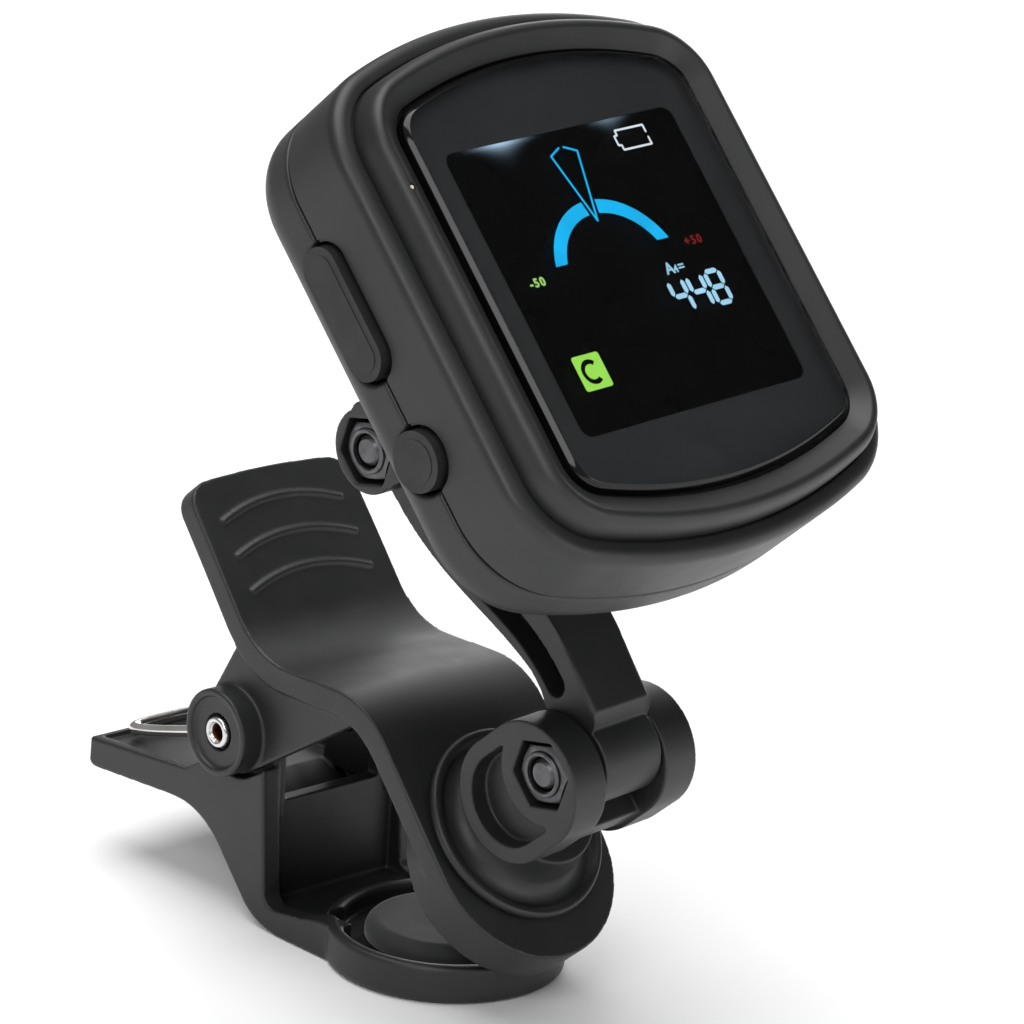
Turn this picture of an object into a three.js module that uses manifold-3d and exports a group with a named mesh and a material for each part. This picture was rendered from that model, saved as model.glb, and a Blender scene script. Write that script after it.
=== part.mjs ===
// Clip-on instrument tuner: a spring clip, a turning turret, a two-hinged arm and a display head.
// Millimetres. +Z up, +X along the clip's pivot, +Y towards the thumb tabs, the display faces -Y.
// The origin is the centre of the lower pad's gripping face; DATUM lifts the drawing level to it.
import * as THREE from "three";
import { mergeVertices } from "three/addons/utils/BufferGeometryUtils.js";
import Module from "manifold-3d";

const wasm = await Module();
wasm.setup();

// ---- Driving dimensions ----
const GAP = 0.3; // between pieces that touch
const RAD = Math.PI / 180;

// Clip, measured from a level DATUM above the foot
const DATUM = 2.6; // height of that level above the lower pad's face
const PIVOT_Y = 21.6; // rivet axis behind the pad's centre
const PIVOT_Z = 13.0;
const BOSS_R = 4.5; // drum round the rivet's end
const BOSS_RIM = 13.0; // its raised rim, from the middle plane
const BOSS_FACE = 12.5; // the dished face inside the rim
const PLATE_HALF = 10.8; // half-width of the upper plate
const PLATE_T = 2.6; // depth of its edge
const PLATE_SKIN = 1.7; // its skin between the edges
const CHEEK_OUT = 10.3; // cheeks and lower walls, flush
const CHEEK_IN = 8.9;
const CHEEK_R = 4.7;
const DISC_R = 12.1; // lower jaw's round end
const DISC_TOP = -3.0;
const DISC_BOTTOM = -7.0;
const FLOOR = -5.0; // floor of the foot inside its rim
const PAD_R = 8.1;
const PAD_ROUND = 1.4; // rounding of the pad's upper edge
const WALL_IN = 8.1; // inner face of the lower walls
const LUG_OUT = CHEEK_IN - GAP; // inner lugs of the lower jaw
const LUG_IN = 7.1;
const RIVET_R = 1.2;
const RIVET_BORE = 0.75;
const RIVET_HEAD_R = 1.65;
const RUN = 0.25; // radial play of a turning pin
const OPEN_RELIEF = 0.45; // groove between cheek and lower wall
const WIRE_R = 0.6; // torsion spring
const COIL_R = 2.6;
const COIL_TURNS = 3;
const COIL_PITCH = 1.4;
const LOOP_X = 6.2; // its loop on the lower tab
const LOOP_Y = 43.1;
const LOOP_Z = 4.9 + GAP + WIRE_R;

// Turret, in a frame that leans with the front of the upper jaw
const TURRET_Y = -9.1;
const TURRET_Z = 10.4;
const SLOPE = 49.3 * RAD; // lean of the turret's axis from upright
const REST_SWIVEL = 3.2 * RAD;
const PLATE_TOP = -0.8; // plate's surface in the turret's frame
const RING_R = 10.0;
const END_Y = -3.2; // centre of the upper jaw's round end
const END_R = 10.7;
const CUP_R = END_R; // cup under the round end, flush with it, which holds the upper pad
const CUP_IN = 9.2;
const CUP_RIM = -5.8; // its open edge
const CUP_FLOOR = -4.0;
const LOW_Y = 0.9; // lower hinge axis
const LOW_Z = 15.1;
const UP_Y = 36.6; // upper hinge axis
const UP_Z = 13.3;
const ARM_HALF = 3.8; // half-width of the arm
const EAR_IN = ARM_HALF + GAP;
const EAR_OUT = 8.35;
const SCREW_R = 1.5; // M3
const NUT_FLAT = 2.75; // half of 5.5 mm across flats
const POCKET_FLAT = 3.2;
const POCKET_DEPTH = 2.7;
const HEAD_SCREW_R = 2.75;
const RIB_R = 0.4; // thumb ribs
const RIB_SINK = 0.13; // how far a rib's middle lies under the surface

// Head, in the turret's frame: x across, y up the face, z out of the display
const HEAD_X = -1.3; // the head sits a little to the left of the arm
const HEAD_Y = 36.6;
const HEAD_Z = 48.3;
const SIDE = 24.4; // half-width of the housing
const CORNER_X = 15.0; // centres of the corner arcs
const CORNER_Y = 16.2;
const CORNER_R = SIDE - CORNER_X;
const END_ARC_R = 57.6; // arcs of the top and bottom edges
const SEAM_Z = -9.4;
const BACK_Z = -15.8;
const WALL = 1.8;
const LENS_INSET = 5.8;
const POD_HALF = 12.0; // raised block behind the housing that carries the lugs
const POD_Z = -23.5;
const POST_X = 19.2; // screw posts in the corners
const POST_Y = 19.6;
const POST_R = 2.2;
const LONG_Y = 5.6; // the long button
const LONG_LEN = 13.4;
const LONG_W = 4.6;
const ROUND_Y = -9.5; // the round button
const ROUND_D = 5.75;
const BUTTON_Z = -9.8; // middle of both buttons, across the seam
const SOCKET_Y = 4.0;
const PINHOLE_X = -20.9; // the microphone's hole, on the crest of the bezel
const PINHOLE_Y = 11.95;
const PINHOLE_R = 0.35;
const BOARD_LOW = -7.4;
const BOARD_TOP = -6.4;

const X = new THREE.Vector3(1, 0, 0);
const Y = new THREE.Vector3(0, 1, 0);
const Z = new THREE.Vector3(0, 0, 1);

// ---- Materials ----
const satinBlack = material(0x1b1c1e, 0.5, 0);
const matteBlack = material(0x141516, 0.62, 0);
const glossBlack = material(0x050607, 0.08, 0);
const displayBlack = material(0x08090c, 0.3, 0);
const rubber = material(0x26282a, 0.8, 0);
const steel = material(0xc9cbcd, 0.25, 1);
const darkSteel = material(0x2c2d30, 0.35, 0.9);
const boardGreen = material(0x14492f, 0.5, 0);
const foil = material(0xb9bcc0, 0.4, 0.6);
const brass = material(0xc9a24a, 0.35, 0.9);
const switchGrey = material(0x6f7275, 0.6, 0);

function material(color, roughness, metalness) {
  return new THREE.MeshStandardMaterial({ color, roughness, metalness });
}

// ---- Solids ----
function solid(geometry) {
  const bare = geometry.index ? geometry.toNonIndexed() : geometry.clone();
  bare.deleteAttribute("normal");
  bare.deleteAttribute("uv");
  const merged = mergeVertices(bare, 1e-4);
  const mesh = new wasm.Mesh({
    numProp: 3,
    vertProperties: merged.attributes.position.array,
    triVerts: new Uint32Array(merged.index.array),
  });
  return new wasm.Manifold(mesh);
}

function union(first, ...others) {
  return others.reduce((sum, other) => sum.add(other), first);
}

function cut(first, ...others) {
  return others.reduce((rest, other) => rest.subtract(other), first);
}

function mesh(name, shape, finish) {
  const data = shape.getMesh();
  const geometry = new THREE.BufferGeometry();
  geometry.setAttribute("position", new THREE.BufferAttribute(data.vertProperties, 3));
  geometry.setIndex(new THREE.BufferAttribute(data.triVerts, 1));
  const made = new THREE.Mesh(geometry, finish);
  made.name = name;
  return made;
}

function extrude(shape, depth, options = {}) {
  const settings = { depth, bevelEnabled: false, curveSegments: 10, ...options };
  return new THREE.ExtrudeGeometry(shape, settings);
}

// An outline drawn in (x, y), standing from z0 to z1.
function upright(shape, z0, z1, curveSegments = 10) {
  return solid(extrude(shape, z1 - z0, { curveSegments }).translate(0, 0, z0));
}

// An outline drawn in (y, z), running across from x0 to x1.
function across(shape, x0, x1, curveSegments = 10) {
  const turned = extrude(shape, x1 - x0, { curveSegments });
  turned.applyMatrix4(new THREE.Matrix4().makeBasis(Y, Z, X));
  return solid(turned.translate(x0, 0, 0));
}

// The same outline on both sides of the middle plane.
function bothSides(shape, x0, x1, curveSegments = 10) {
  return [across(shape, x0, x1, curveSegments), across(shape, -x1, -x0, curveSegments)];
}

function circle(y, z, r) {
  return new THREE.Shape().absarc(y, z, r, 0, 2 * Math.PI, false);
}

function pinX(y, z, r, x0, x1, segments = 10) {
  return across(circle(y, z, r), x0, x1, segments);
}

function pinZ(x, y, r, z0, z1, segments = 10) {
  return upright(circle(x, y, r), z0, z1, segments);
}

function block(x0, x1, y0, y1, z0, z1) {
  const box = new THREE.BoxGeometry(x1 - x0, y1 - y0, z1 - z0);
  return solid(box.translate((x0 + x1) / 2, (y0 + y1) / 2, (z0 + z1) / 2));
}

// A hexagon drawn in (y, z): flat is the distance from its centre to a flat.
function hexagon(y, z, flat) {
  const r = flat / Math.cos(Math.PI / 6);
  const points = [];
  for (let i = 0; i < 6; i++) {
    const a = (i * Math.PI) / 3;
    points.push(new THREE.Vector2(y + r * Math.cos(a), z + r * Math.sin(a)));
  }
  return new THREE.Shape(points);
}

// A closed (radius, height) profile turned round the Z axis.
function turned(profile, segments = 32) {
  const points = profile.map(([r, z]) => new THREE.Vector2(r, z));
  points.push(points[0].clone());
  return solid(new THREE.LatheGeometry(points, segments).rotateX(Math.PI / 2));
}

function sweep(curve, r, sides, steps) {
  const section = circle(0, 0, r);
  const options = { extrudePath: curve, steps, curveSegments: sides / 2, bevelEnabled: false };
  return solid(new THREE.ExtrudeGeometry(section, options));
}

// Moves a solid from the turret's leaning frame, without its swivel, into the clip's frame.
function leaning(shape) {
  const lean = new THREE.Matrix4().makeRotationX(SLOPE).setPosition(0, TURRET_Y, TURRET_Z);
  return shape.transform(lean.elements);
}

// ---- The housing's outline: straight sides, arcs at the corners, long arcs at the ends ----
function housingOutline(inset) {
  const endR = END_ARC_R - inset;
  const cornerR = CORNER_R - inset;
  const centreDistance = END_ARC_R - CORNER_R;
  const endY = CORNER_Y - Math.sqrt(centreDistance ** 2 - CORNER_X ** 2);
  const lean = Math.atan2(CORNER_Y - endY, CORNER_X);
  const shape = new THREE.Shape();
  shape.absarc(CORNER_X, CORNER_Y, cornerR, 0, lean, false);
  shape.absarc(0, endY, endR, lean, Math.PI - lean, false);
  shape.absarc(-CORNER_X, CORNER_Y, cornerR, Math.PI - lean, Math.PI, false);
  shape.absarc(-CORNER_X, -CORNER_Y, cornerR, Math.PI, Math.PI + lean, false);
  shape.absarc(0, -endY, endR, Math.PI + lean, 2 * Math.PI - lean, false);
  shape.absarc(CORNER_X, -CORNER_Y, cornerR, 2 * Math.PI - lean, 2 * Math.PI, false);
  return shape;
}

function outlinePoints(inset) {
  const points = housingOutline(inset).getPoints(5);
  return points.filter((p, i) => p.distanceTo(points[(i + 1) % points.length]) > 1e-6);
}

// A closed ring whose section is a profile of (inset, z) points, carried round the housing's outline.
function housingRing(profile) {
  const loops = profile.map(([inset]) => outlinePoints(inset));
  const around = loops[0].length;
  const position = profile.flatMap(([, z], i) => loops[i].flatMap((p) => [p.x, p.y, z]));
  const index = [];
  for (let i = 0; i < profile.length; i++) {
    const next = (i + 1) % profile.length;
    for (let j = 0; j < around; j++) {
      const k = (j + 1) % around;
      const [a, b] = [i * around + j, i * around + k];
      const [c, d] = [next * around + j, next * around + k];
      index.push(a, b, d, a, d, c);
    }
  }
  const geometry = new THREE.BufferGeometry();
  geometry.setAttribute("position", new THREE.Float32BufferAttribute(position, 3));
  geometry.setIndex(index);
  return solid(geometry);
}

function housingSlab(inset, z0, z1) {
  return upright(housingOutline(inset), z0, z1, 6);
}

// ---- Clip: upper jaw ----
// The plate's edge band: thumb tab, valley, flat hump and sloping front, seen from the side.
function plateBand(depth) {
  const tab = new THREE.Vector2(0.639, 0.769); // up the tab
  const shape = new THREE.Shape();
  const skin = (y, z, ny, nz) => [y + depth * ny, z + depth * nz];
  const end = leaningPoint(END_Y - END_R - 1, PLATE_TOP);
  const endIn = leaningPoint(END_Y - END_R - 1, PLATE_TOP - depth);
  const bend = leaningPoint(11.0, PLATE_TOP);
  const bendIn = leaningPoint(10.2, PLATE_TOP - depth);
  const crest = [1.6, 21.7];
  shape.moveTo(30.9, 36.8);
  shape.lineTo(21.0, 24.9);
  shape.quadraticCurveTo(18.2, 21.5, 13.5, 21.5);
  shape.lineTo(6.4, 21.7);
  shape.quadraticCurveTo(...crest, ...bend);
  shape.lineTo(...end);
  shape.lineTo(...endIn);
  shape.lineTo(...bendIn);
  shape.quadraticCurveTo(2.9, 21.7 - depth, 6.6, 21.7 - depth);
  shape.lineTo(13.9, 21.5 - depth);
  const low = skin(21.0, 24.9, tab.y, -tab.x);
  shape.quadraticCurveTo(19.3, 21.5 - depth, ...low);
  shape.lineTo(...skin(30.9, 36.8, tab.y, -tab.x));
  shape.closePath();
  return shape;
}

// A point of the leaning frame's middle plane, as (y, z) of the clip's frame.
function leaningPoint(y, z) {
  return [
    TURRET_Y + y * Math.cos(SLOPE) - z * Math.sin(SLOPE),
    TURRET_Z + y * Math.sin(SLOPE) + z * Math.cos(SLOPE),
  ];
}

// Outline of the plate seen square to its sloping front: straight sides and a round end.
function frontPlan(inset) {
  const half = PLATE_HALF - inset;
  const r = END_R - inset;
  const shape = new THREE.Shape();
  shape.moveTo(half, 70);
  shape.lineTo(-half, 70);
  shape.lineTo(-half, END_Y + 4);
  shape.absarc(0, END_Y, r, Math.PI, 2 * Math.PI, false);
  shape.lineTo(half, END_Y + 4);
  shape.closePath();
  return leaning(upright(shape, -45, 20, 12));
}

// Outline of the plate seen square to the thumb tab: rounded corners at the tip.
function tabPlan(inset) {
  const half = PLATE_HALF - 0.1 - inset;
  const r = 3.0 - inset;
  const tip = 38.7 - inset;
  const shape = new THREE.Shape();
  shape.moveTo(-half - 0.1, -60);
  shape.lineTo(half + 0.1, -60);
  shape.lineTo(half + 0.1, 22);
  shape.lineTo(half, tip - r - 1);
  shape.absarc(half - r, tip - r, r, 0, Math.PI / 2, false);
  shape.quadraticCurveTo(0, tip + 0.6, -half + r, tip);
  shape.absarc(-half + r, tip - r, r, Math.PI / 2, Math.PI, false);
  shape.lineTo(-half - 0.1, 22);
  shape.closePath();
  const lean = new THREE.Matrix4().makeRotationX(50.3 * RAD).setPosition(0, 6.0, 6.4);
  return upright(shape, -30, 50, 5).transform(lean.elements);
}

function cheekOutline() {
  const shape = new THREE.Shape();
  shape.moveTo(2.2, 20.4);
  shape.lineTo(2.9, 19.3);
  shape.lineTo(PIVOT_Y - 2.3, PIVOT_Z - 4.1);
  shape.absarc(PIVOT_Y, PIVOT_Z, CHEEK_R, -119 * RAD, 38 * RAD, false);
  shape.lineTo(PIVOT_Y - 0.2, PIVOT_Z + 9.6);
  shape.lineTo(PIVOT_Y - 3.4, PIVOT_Z + 7.4);
  shape.closePath();
  return shape;
}

// Three raised arcs for the thumb, bowed towards the tip of the tab.
function thumbRibs() {
  return [27.6, 25.1, 22.6].map((y) => {
    const z = 32.85 - RIB_SINK + (y - 27.6) * 1.2;
    const ends = (x) => new THREE.Vector3(x, y, z);
    const bow = new THREE.Vector3(0, y + 2.1, z + 2.55);
    return sweep(new THREE.QuadraticBezierCurve3(ends(-8), bow, ends(8)), RIB_R, 8, 10);
  });
}

function upperJaw() {
  let plate = across(plateBand(PLATE_T), -PLATE_HALF, PLATE_HALF, 6);
  plate = plate.intersect(frontPlan(0)).intersect(tabPlan(0));
  const hollowBand = cut(
    across(plateBand(PLATE_T + 1), -PLATE_HALF, PLATE_HALF, 6),
    across(plateBand(PLATE_SKIN), -PLATE_HALF - 1, PLATE_HALF + 1, 6),
  );
  const hollow = hollowBand.intersect(frontPlan(1.6)).intersect(tabPlan(1.6));
  const cup = leaning(pinZ(0, END_Y, CUP_R, CUP_RIM, PLATE_TOP - PLATE_SKIN + 0.2, 16));
  const body = union(
    cut(plate, hollow),
    cup,
    ...bothSides(cheekOutline(), CHEEK_IN, CHEEK_OUT, 8),
    ...bothSides(circle(PIVOT_Y, PIVOT_Z, BOSS_R), CHEEK_OUT - 0.5, BOSS_RIM, 14),
    ...thumbRibs(),
  );
  return cut(
    body,
    pinX(PIVOT_Y, PIVOT_Z, RIVET_R + RUN, -20, 20),
    ...bothSides(circle(PIVOT_Y, PIVOT_Z, BOSS_R - 0.7), BOSS_FACE, 20, 12),
    ...bothSides(circle(PIVOT_Y, PIVOT_Z, RIVET_HEAD_R + RUN), BOSS_FACE - 0.65, 20),
    leaning(pinZ(0, END_Y, CUP_IN, CUP_RIM - 2, CUP_FLOOR, 14)),
    leaning(pinZ(0, 0, SCREW_R + RUN, -10, 5)),
    leaning(pinZ(0, 0, HEAD_SCREW_R + 1.1, -10, PLATE_TOP - 1.6)),
  );
}

// ---- Clip: lower jaw ----
function lowerOutline() {
  const shape = new THREE.Shape();
  shape.moveTo(44.5, 5.1);
  shape.lineTo(29.1, 6.3);
  shape.lineTo(PIVOT_Y + 4.2, 8.3);
  shape.lineTo(PIVOT_Y, PIVOT_Z);
  shape.lineTo(17.0, 10.4);
  shape.lineTo(16.0, -3.2);
  shape.quadraticCurveTo(15.8, -4.4, 14.4, -4.4);
  shape.lineTo(10.5, -3.9);
  shape.quadraticCurveTo(8.5, -3.1, 4.5, -3.1);
  shape.lineTo(4.5, DISC_BOTTOM);
  shape.lineTo(13.0, DISC_BOTTOM);
  shape.quadraticCurveTo(17.6, -6.9, 19.6, -4.4);
  shape.lineTo(22.9, -0.8);
  shape.quadraticCurveTo(26.2, 3.2, 31.4, 2.8);
  shape.lineTo(43.4, 2.0);
  shape.quadraticCurveTo(44.5, 2.0, 44.6, 2.8);
  shape.closePath();
  return shape;
}

// The lower wall stays below the cheek's round end and its straight lower edge.
function cheekRelief() {
  const shape = new THREE.Shape();
  const r = CHEEK_R + OPEN_RELIEF;
  shape.moveTo(0, 21.0 - OPEN_RELIEF);
  shape.lineTo(PIVOT_Y - 2.5, PIVOT_Z - 4.5);
  shape.absarc(PIVOT_Y, PIVOT_Z, r, -119 * RAD, -20 * RAD, false);
  shape.lineTo(PIVOT_Y + 12, PIVOT_Z + 12);
  shape.lineTo(0, PIVOT_Z + 12);
  shape.closePath();
  return shape;
}

function lugOutline() {
  const shape = new THREE.Shape();
  shape.moveTo(17.1, 4);
  shape.lineTo(17.1, PIVOT_Z);
  shape.absarc(PIVOT_Y, PIVOT_Z, 4.2, Math.PI, 0, true);
  shape.lineTo(27.5, 5.6);
  shape.lineTo(27.5, 4);
  shape.closePath();
  return shape;
}

// The hollow behind the web, open at the top under the spring's coils.
function coilWell() {
  const shape = new THREE.Shape();
  shape.moveTo(19.6, -1.6);
  shape.lineTo(19.6, 30);
  shape.lineTo(27.4, 30);
  shape.lineTo(27.4, 4.6);
  shape.quadraticCurveTo(24.0, 3.2, 21.6, 0.6);
  shape.closePath();
  return shape;
}

function lowerJaw() {
  const disc = turned(
    [
      [0, DISC_BOTTOM + 0.9],
      [8.6, DISC_BOTTOM + 0.9],
      [9.0, DISC_BOTTOM + 0.1],
      [DISC_R - 0.9, DISC_BOTTOM],
      [DISC_R - 0.25, DISC_BOTTOM + 0.3],
      [DISC_R, DISC_BOTTOM + 1.0],
      [DISC_R, DISC_TOP - 0.7],
      [DISC_R - 0.25, DISC_TOP - 0.2],
      [DISC_R - 0.8, DISC_TOP],
      [DISC_R - 1.3, DISC_TOP - 0.1],
      [DISC_R - 1.5, DISC_TOP - 0.5],
      [DISC_R - 1.5, FLOOR],
      [0, FLOOR],
    ],
    44,
  );
  const walls = cut(
    across(lowerOutline(), -CHEEK_OUT, CHEEK_OUT, 5),
    ...bothSides(cheekRelief(), LUG_OUT - 0.6, 20, 8),
    block(-WALL_IN, WALL_IN, 0, 17.9, FLOOR, 20),
    across(coilWell(), -WALL_IN, WALL_IN, 4),
    block(-LUG_IN, LUG_IN, 19.6, 60, 6.3, 30),
    block(-6.3, 6.3, 10, 30, 5.6, 30),
    block(-9.0, 9.0, 27.4, 43.8, 4.6, 30),
  );
  const body = union(walls, disc, ...bothSides(lugOutline(), LUG_IN, LUG_OUT, 8));
  const inside = pinZ(0, 0, DISC_R - 1.5, FLOOR, 0, 11);
  const bowl = inside.intersect(block(-20, 20, -20, 5, FLOOR - 1, 0));
  const passage = block(-WALL_IN, WALL_IN, 3, 9, FLOOR, 0);
  return cut(body, bowl, passage, pinX(PIVOT_Y, PIVOT_Z, RIVET_R + RUN, -20, 20));
}

// ---- Clip: pads, rivet and spring ----
function lowerPad() {
  const bottom = FLOOR + GAP;
  const top = -DATUM;
  const profile = [
    [0, bottom],
    [PAD_R, bottom],
  ];
  for (let i = 0; i <= 4; i++) {
    const a = (i / 4) * (Math.PI / 2);
    const r = PAD_R - PAD_ROUND + PAD_ROUND * Math.cos(a);
    profile.push([r, top - PAD_ROUND + PAD_ROUND * Math.sin(a)]);
  }
  profile.push([0, top]);
  return turned(profile, 36);
}

function upperPad() {
  const top = CUP_FLOOR - GAP;
  const body = pinZ(0, END_Y, PAD_R, CUP_RIM - 0.4, top, 14);
  const screwPocket = pinZ(0, 0, HEAD_SCREW_R + GAP, top - 1.0, top + 1, 12);
  return leaning(cut(body, screwPocket));
}

// A hollow rivet with a rolled head at each end.
function pivotRivet() {
  const head = BOSS_FACE + 0.35;
  const shank = BOSS_FACE - 0.35;
  const profile = [
    [RIVET_BORE, -head],
    [RIVET_HEAD_R - 0.4, -head],
    [RIVET_HEAD_R, -head + 0.3],
    [RIVET_HEAD_R, -shank],
    [RIVET_R, -shank],
    [RIVET_R, shank],
    [RIVET_HEAD_R, shank],
    [RIVET_HEAD_R, head - 0.3],
    [RIVET_HEAD_R - 0.4, head],
    [RIVET_BORE, head],
  ];
  const stand = new THREE.Matrix4().makeRotationY(Math.PI / 2).setPosition(0, PIVOT_Y, PIVOT_Z);
  return turned(profile, 20).transform(stand.elements);
}

// A double torsion spring: a coil each side, joined by a loop that lies on the lower tab.
function springPath() {
  const points = [];
  const start = -58 * RAD; // the coil's end that leads to the loop
  const steps = COIL_TURNS * 14;
  const coil = (i) => {
    const a = start + (i / steps) * (COIL_TURNS * 2 * Math.PI + 75 * RAD);
    return [COIL_R * Math.cos(a), COIL_R * Math.sin(a), (i / steps) * COIL_TURNS * COIL_PITCH];
  };
  const side = (sign) => {
    const run = [new THREE.Vector3(sign * 1.0, 28.0, 27.6), new THREE.Vector3(sign * 1.0, 22.9, 19.4)];
    for (let i = steps; i >= 0; i--) {
      const [y, z, x] = coil(i);
      run.push(new THREE.Vector3(sign * (5.2 - x), PIVOT_Y + y, PIVOT_Z + z));
    }
    run.push(new THREE.Vector3(sign * 5.2, 30, 9.0));
    run.push(new THREE.Vector3(sign * LOOP_X, LOOP_Y - 3, LOOP_Z + 0.5));
    run.push(new THREE.Vector3(sign * (LOOP_X - 0.3), LOOP_Y - 0.4, LOOP_Z));
    return run;
  };
  points.push(...side(-1), new THREE.Vector3(0, LOOP_Y, LOOP_Z), ...side(1).reverse());
  return new THREE.CatmullRomCurve3(points, false, "centripetal");
}

function torsionSpring() {
  return sweep(springPath(), WIRE_R, 6, 150);
}

// ---- Turret, in its own frame ----
function earOutline(inset) {
  const r = 6.3 - inset;
  const reach = 8.2 - inset - r;
  const middle = 11.1;
  const shape = new THREE.Shape();
  shape.absarc(LOW_Y - 0.1, middle + reach, r, 0, Math.PI, false);
  shape.absarc(LOW_Y - 0.1, middle - reach, r, Math.PI, 2 * Math.PI, false);
  return shape;
}

function crescent() {
  const core = pinX(LOW_Y, LOW_Z, 5.2, EAR_OUT - 3, EAR_OUT + 1, 12);
  const dish = across(earOutline(1.7), EAR_OUT - 2.0, EAR_OUT + 1, 8);
  return dish.subtract(core);
}

function mirrored(shape) {
  return shape.mirror([1, 0, 0]);
}

function hexX(y, z, flat, x0, x1) {
  return across(hexagon(y, z, flat), x0, x1);
}

// Seats for the hinge hardware: a hex pocket on the left, a round one on the right.
function hingeSeats(y, z) {
  return [
    pinX(y, z, SCREW_R + RUN, -20, 20),
    hexX(y, z, POCKET_FLAT, -EAR_OUT - 1, -EAR_OUT + POCKET_DEPTH),
    pinX(y, z, HEAD_SCREW_R + 0.3, EAR_OUT - POCKET_DEPTH + 0.5, EAR_OUT + 1, 12),
  ];
}

function turret() {
  const base = turned(
    [
      [0, PLATE_TOP + GAP],
      [RING_R - 0.3, PLATE_TOP + GAP],
      [RING_R, -0.2],
      [RING_R, 0.2],
      [RING_R - 0.35, 0.55],
      [RING_R - 0.8, 0.5],
      [RING_R - 1.3, 0.1],
      [7.6, 0.3],
      [6.8, 1.0],
      [6.3, 2.2],
      [6.1, 4.5],
      [0, 4.5],
    ],
    40,
  );
  const hub = across(earOutline(0.5), -EAR_IN - 0.1, EAR_IN + 0.1, 8);
  const saddle = pinX(LOW_Y, LOW_Z, 4.4 + OPEN_RELIEF, -EAR_IN, EAR_IN, 14);
  const above = block(-EAR_IN, EAR_IN, -12, 12, LOW_Z - 3.2, 40);
  const body = union(
    base,
    cut(hub, saddle, above),
    ...bothSides(earOutline(0), EAR_IN, EAR_OUT, 10),
  );
  return cut(
    body,
    crescent(),
    mirrored(crescent()),
    ...hingeSeats(LOW_Y, LOW_Z),
    pinZ(0, 0, SCREW_R + RUN, -5, 6.5),
  );
}

function swivelScrew() {
  const under = PLATE_TOP - 1.6 - GAP - 0.5 - GAP;
  return turned([
    [0, under - 1.5],
    [1.7, under - 1.5],
    [HEAD_SCREW_R, under - 0.9],
    [HEAD_SCREW_R, under],
    [SCREW_R, under],
    [SCREW_R, 5.9],
    [0, 5.9],
  ], 20);
}

function swivelWasher() {
  const top = PLATE_TOP - 1.6 - GAP;
  return turned([
    [SCREW_R + RUN, top - 0.5],
    [3.5, top - 0.5],
    [3.5, top],
    [SCREW_R + RUN, top],
  ], 20);
}

// ---- Arm ----
function armOutline() {
  const shape = new THREE.Shape();
  shape.moveTo(LOW_Y + 1.5, LOW_Z + 4.1);
  shape.lineTo(3.7, 20.9);
  shape.lineTo(11.5, 21.3);
  shape.bezierCurveTo(20.5, 21.0, 23.0, 15.6, 32.0, 15.5);
  shape.absarc(UP_Y, UP_Z, 4.2, 150 * RAD, -95 * RAD, true);
  shape.lineTo(32.6, 9.2);
  shape.bezierCurveTo(23.5, 9.5, 18.0, 13.8, 10.8, 15.5);
  shape.quadraticCurveTo(7.5, 16.0, LOW_Y + 4.2, LOW_Z - 1.2);
  shape.absarc(LOW_Y, LOW_Z, 4.4, -17 * RAD, -290 * RAD, true);
  shape.closePath();
  return shape;
}

function armSlot() {
  const shape = new THREE.Shape();
  shape.moveTo(8.2, 18.9);
  shape.bezierCurveTo(17.0, 19.2, 20.5, 14.2, 28.4, 14.1);
  shape.absarc(28.4, 12.85, 1.25, Math.PI / 2, -Math.PI / 2, true);
  shape.bezierCurveTo(20.0, 11.8, 16.5, 16.7, 8.2, 16.4);
  shape.absarc(8.2, 17.65, 1.25, -Math.PI / 2, Math.PI / 2, true);
  shape.closePath();
  return shape;
}

function arm() {
  return cut(
    across(armOutline(), -ARM_HALF, ARM_HALF, 10),
    ...bothSides(armSlot(), 1.1, 10, 6),
    pinX(LOW_Y, LOW_Z, SCREW_R + RUN, -20, 20),
    pinX(UP_Y, UP_Z, SCREW_R + RUN, -20, 20),
  );
}

// ---- Hinge hardware ----
function hingeScrew(y, z) {
  const seat = EAR_OUT - POCKET_DEPTH + 0.5 + GAP;
  const shank = pinX(y, z, SCREW_R, -EAR_OUT + 0.25, seat + 0.5);
  const head = pinX(y, z, HEAD_SCREW_R, seat, seat + 1.5, 12);
  const slots = [0, 90].map((turn) => crossSlot(y, z, turn * RAD, seat + 0.9));
  return cut(shank.add(head), ...slots);
}

function crossSlot(y, z, turn, x0) {
  const shape = new THREE.Shape();
  const corners = [
    [-1.3, -0.25],
    [1.3, -0.25],
    [1.3, 0.25],
    [-1.3, 0.25],
  ];
  const spin = corners.map(([a, b]) => new THREE.Vector2(a, b).rotateAround(new THREE.Vector2(), turn));
  shape.setFromPoints(spin.map((p) => new THREE.Vector2(p.x + y, p.y + z)));
  return across(shape, x0, x0 + 3);
}

// A locking nut: hexagon with a round collar that holds its nylon ring.
function hingeNut(y, z) {
  const outer = -EAR_OUT + 0.1;
  const inner = -EAR_OUT + POCKET_DEPTH - GAP;
  const body = union(hexX(y, z, NUT_FLAT, outer + 0.35, inner), pinX(y, z, 2.3, outer, inner, 12));
  return cut(body, pinX(y, z, SCREW_R + RUN, -20, 20));
}

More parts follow.
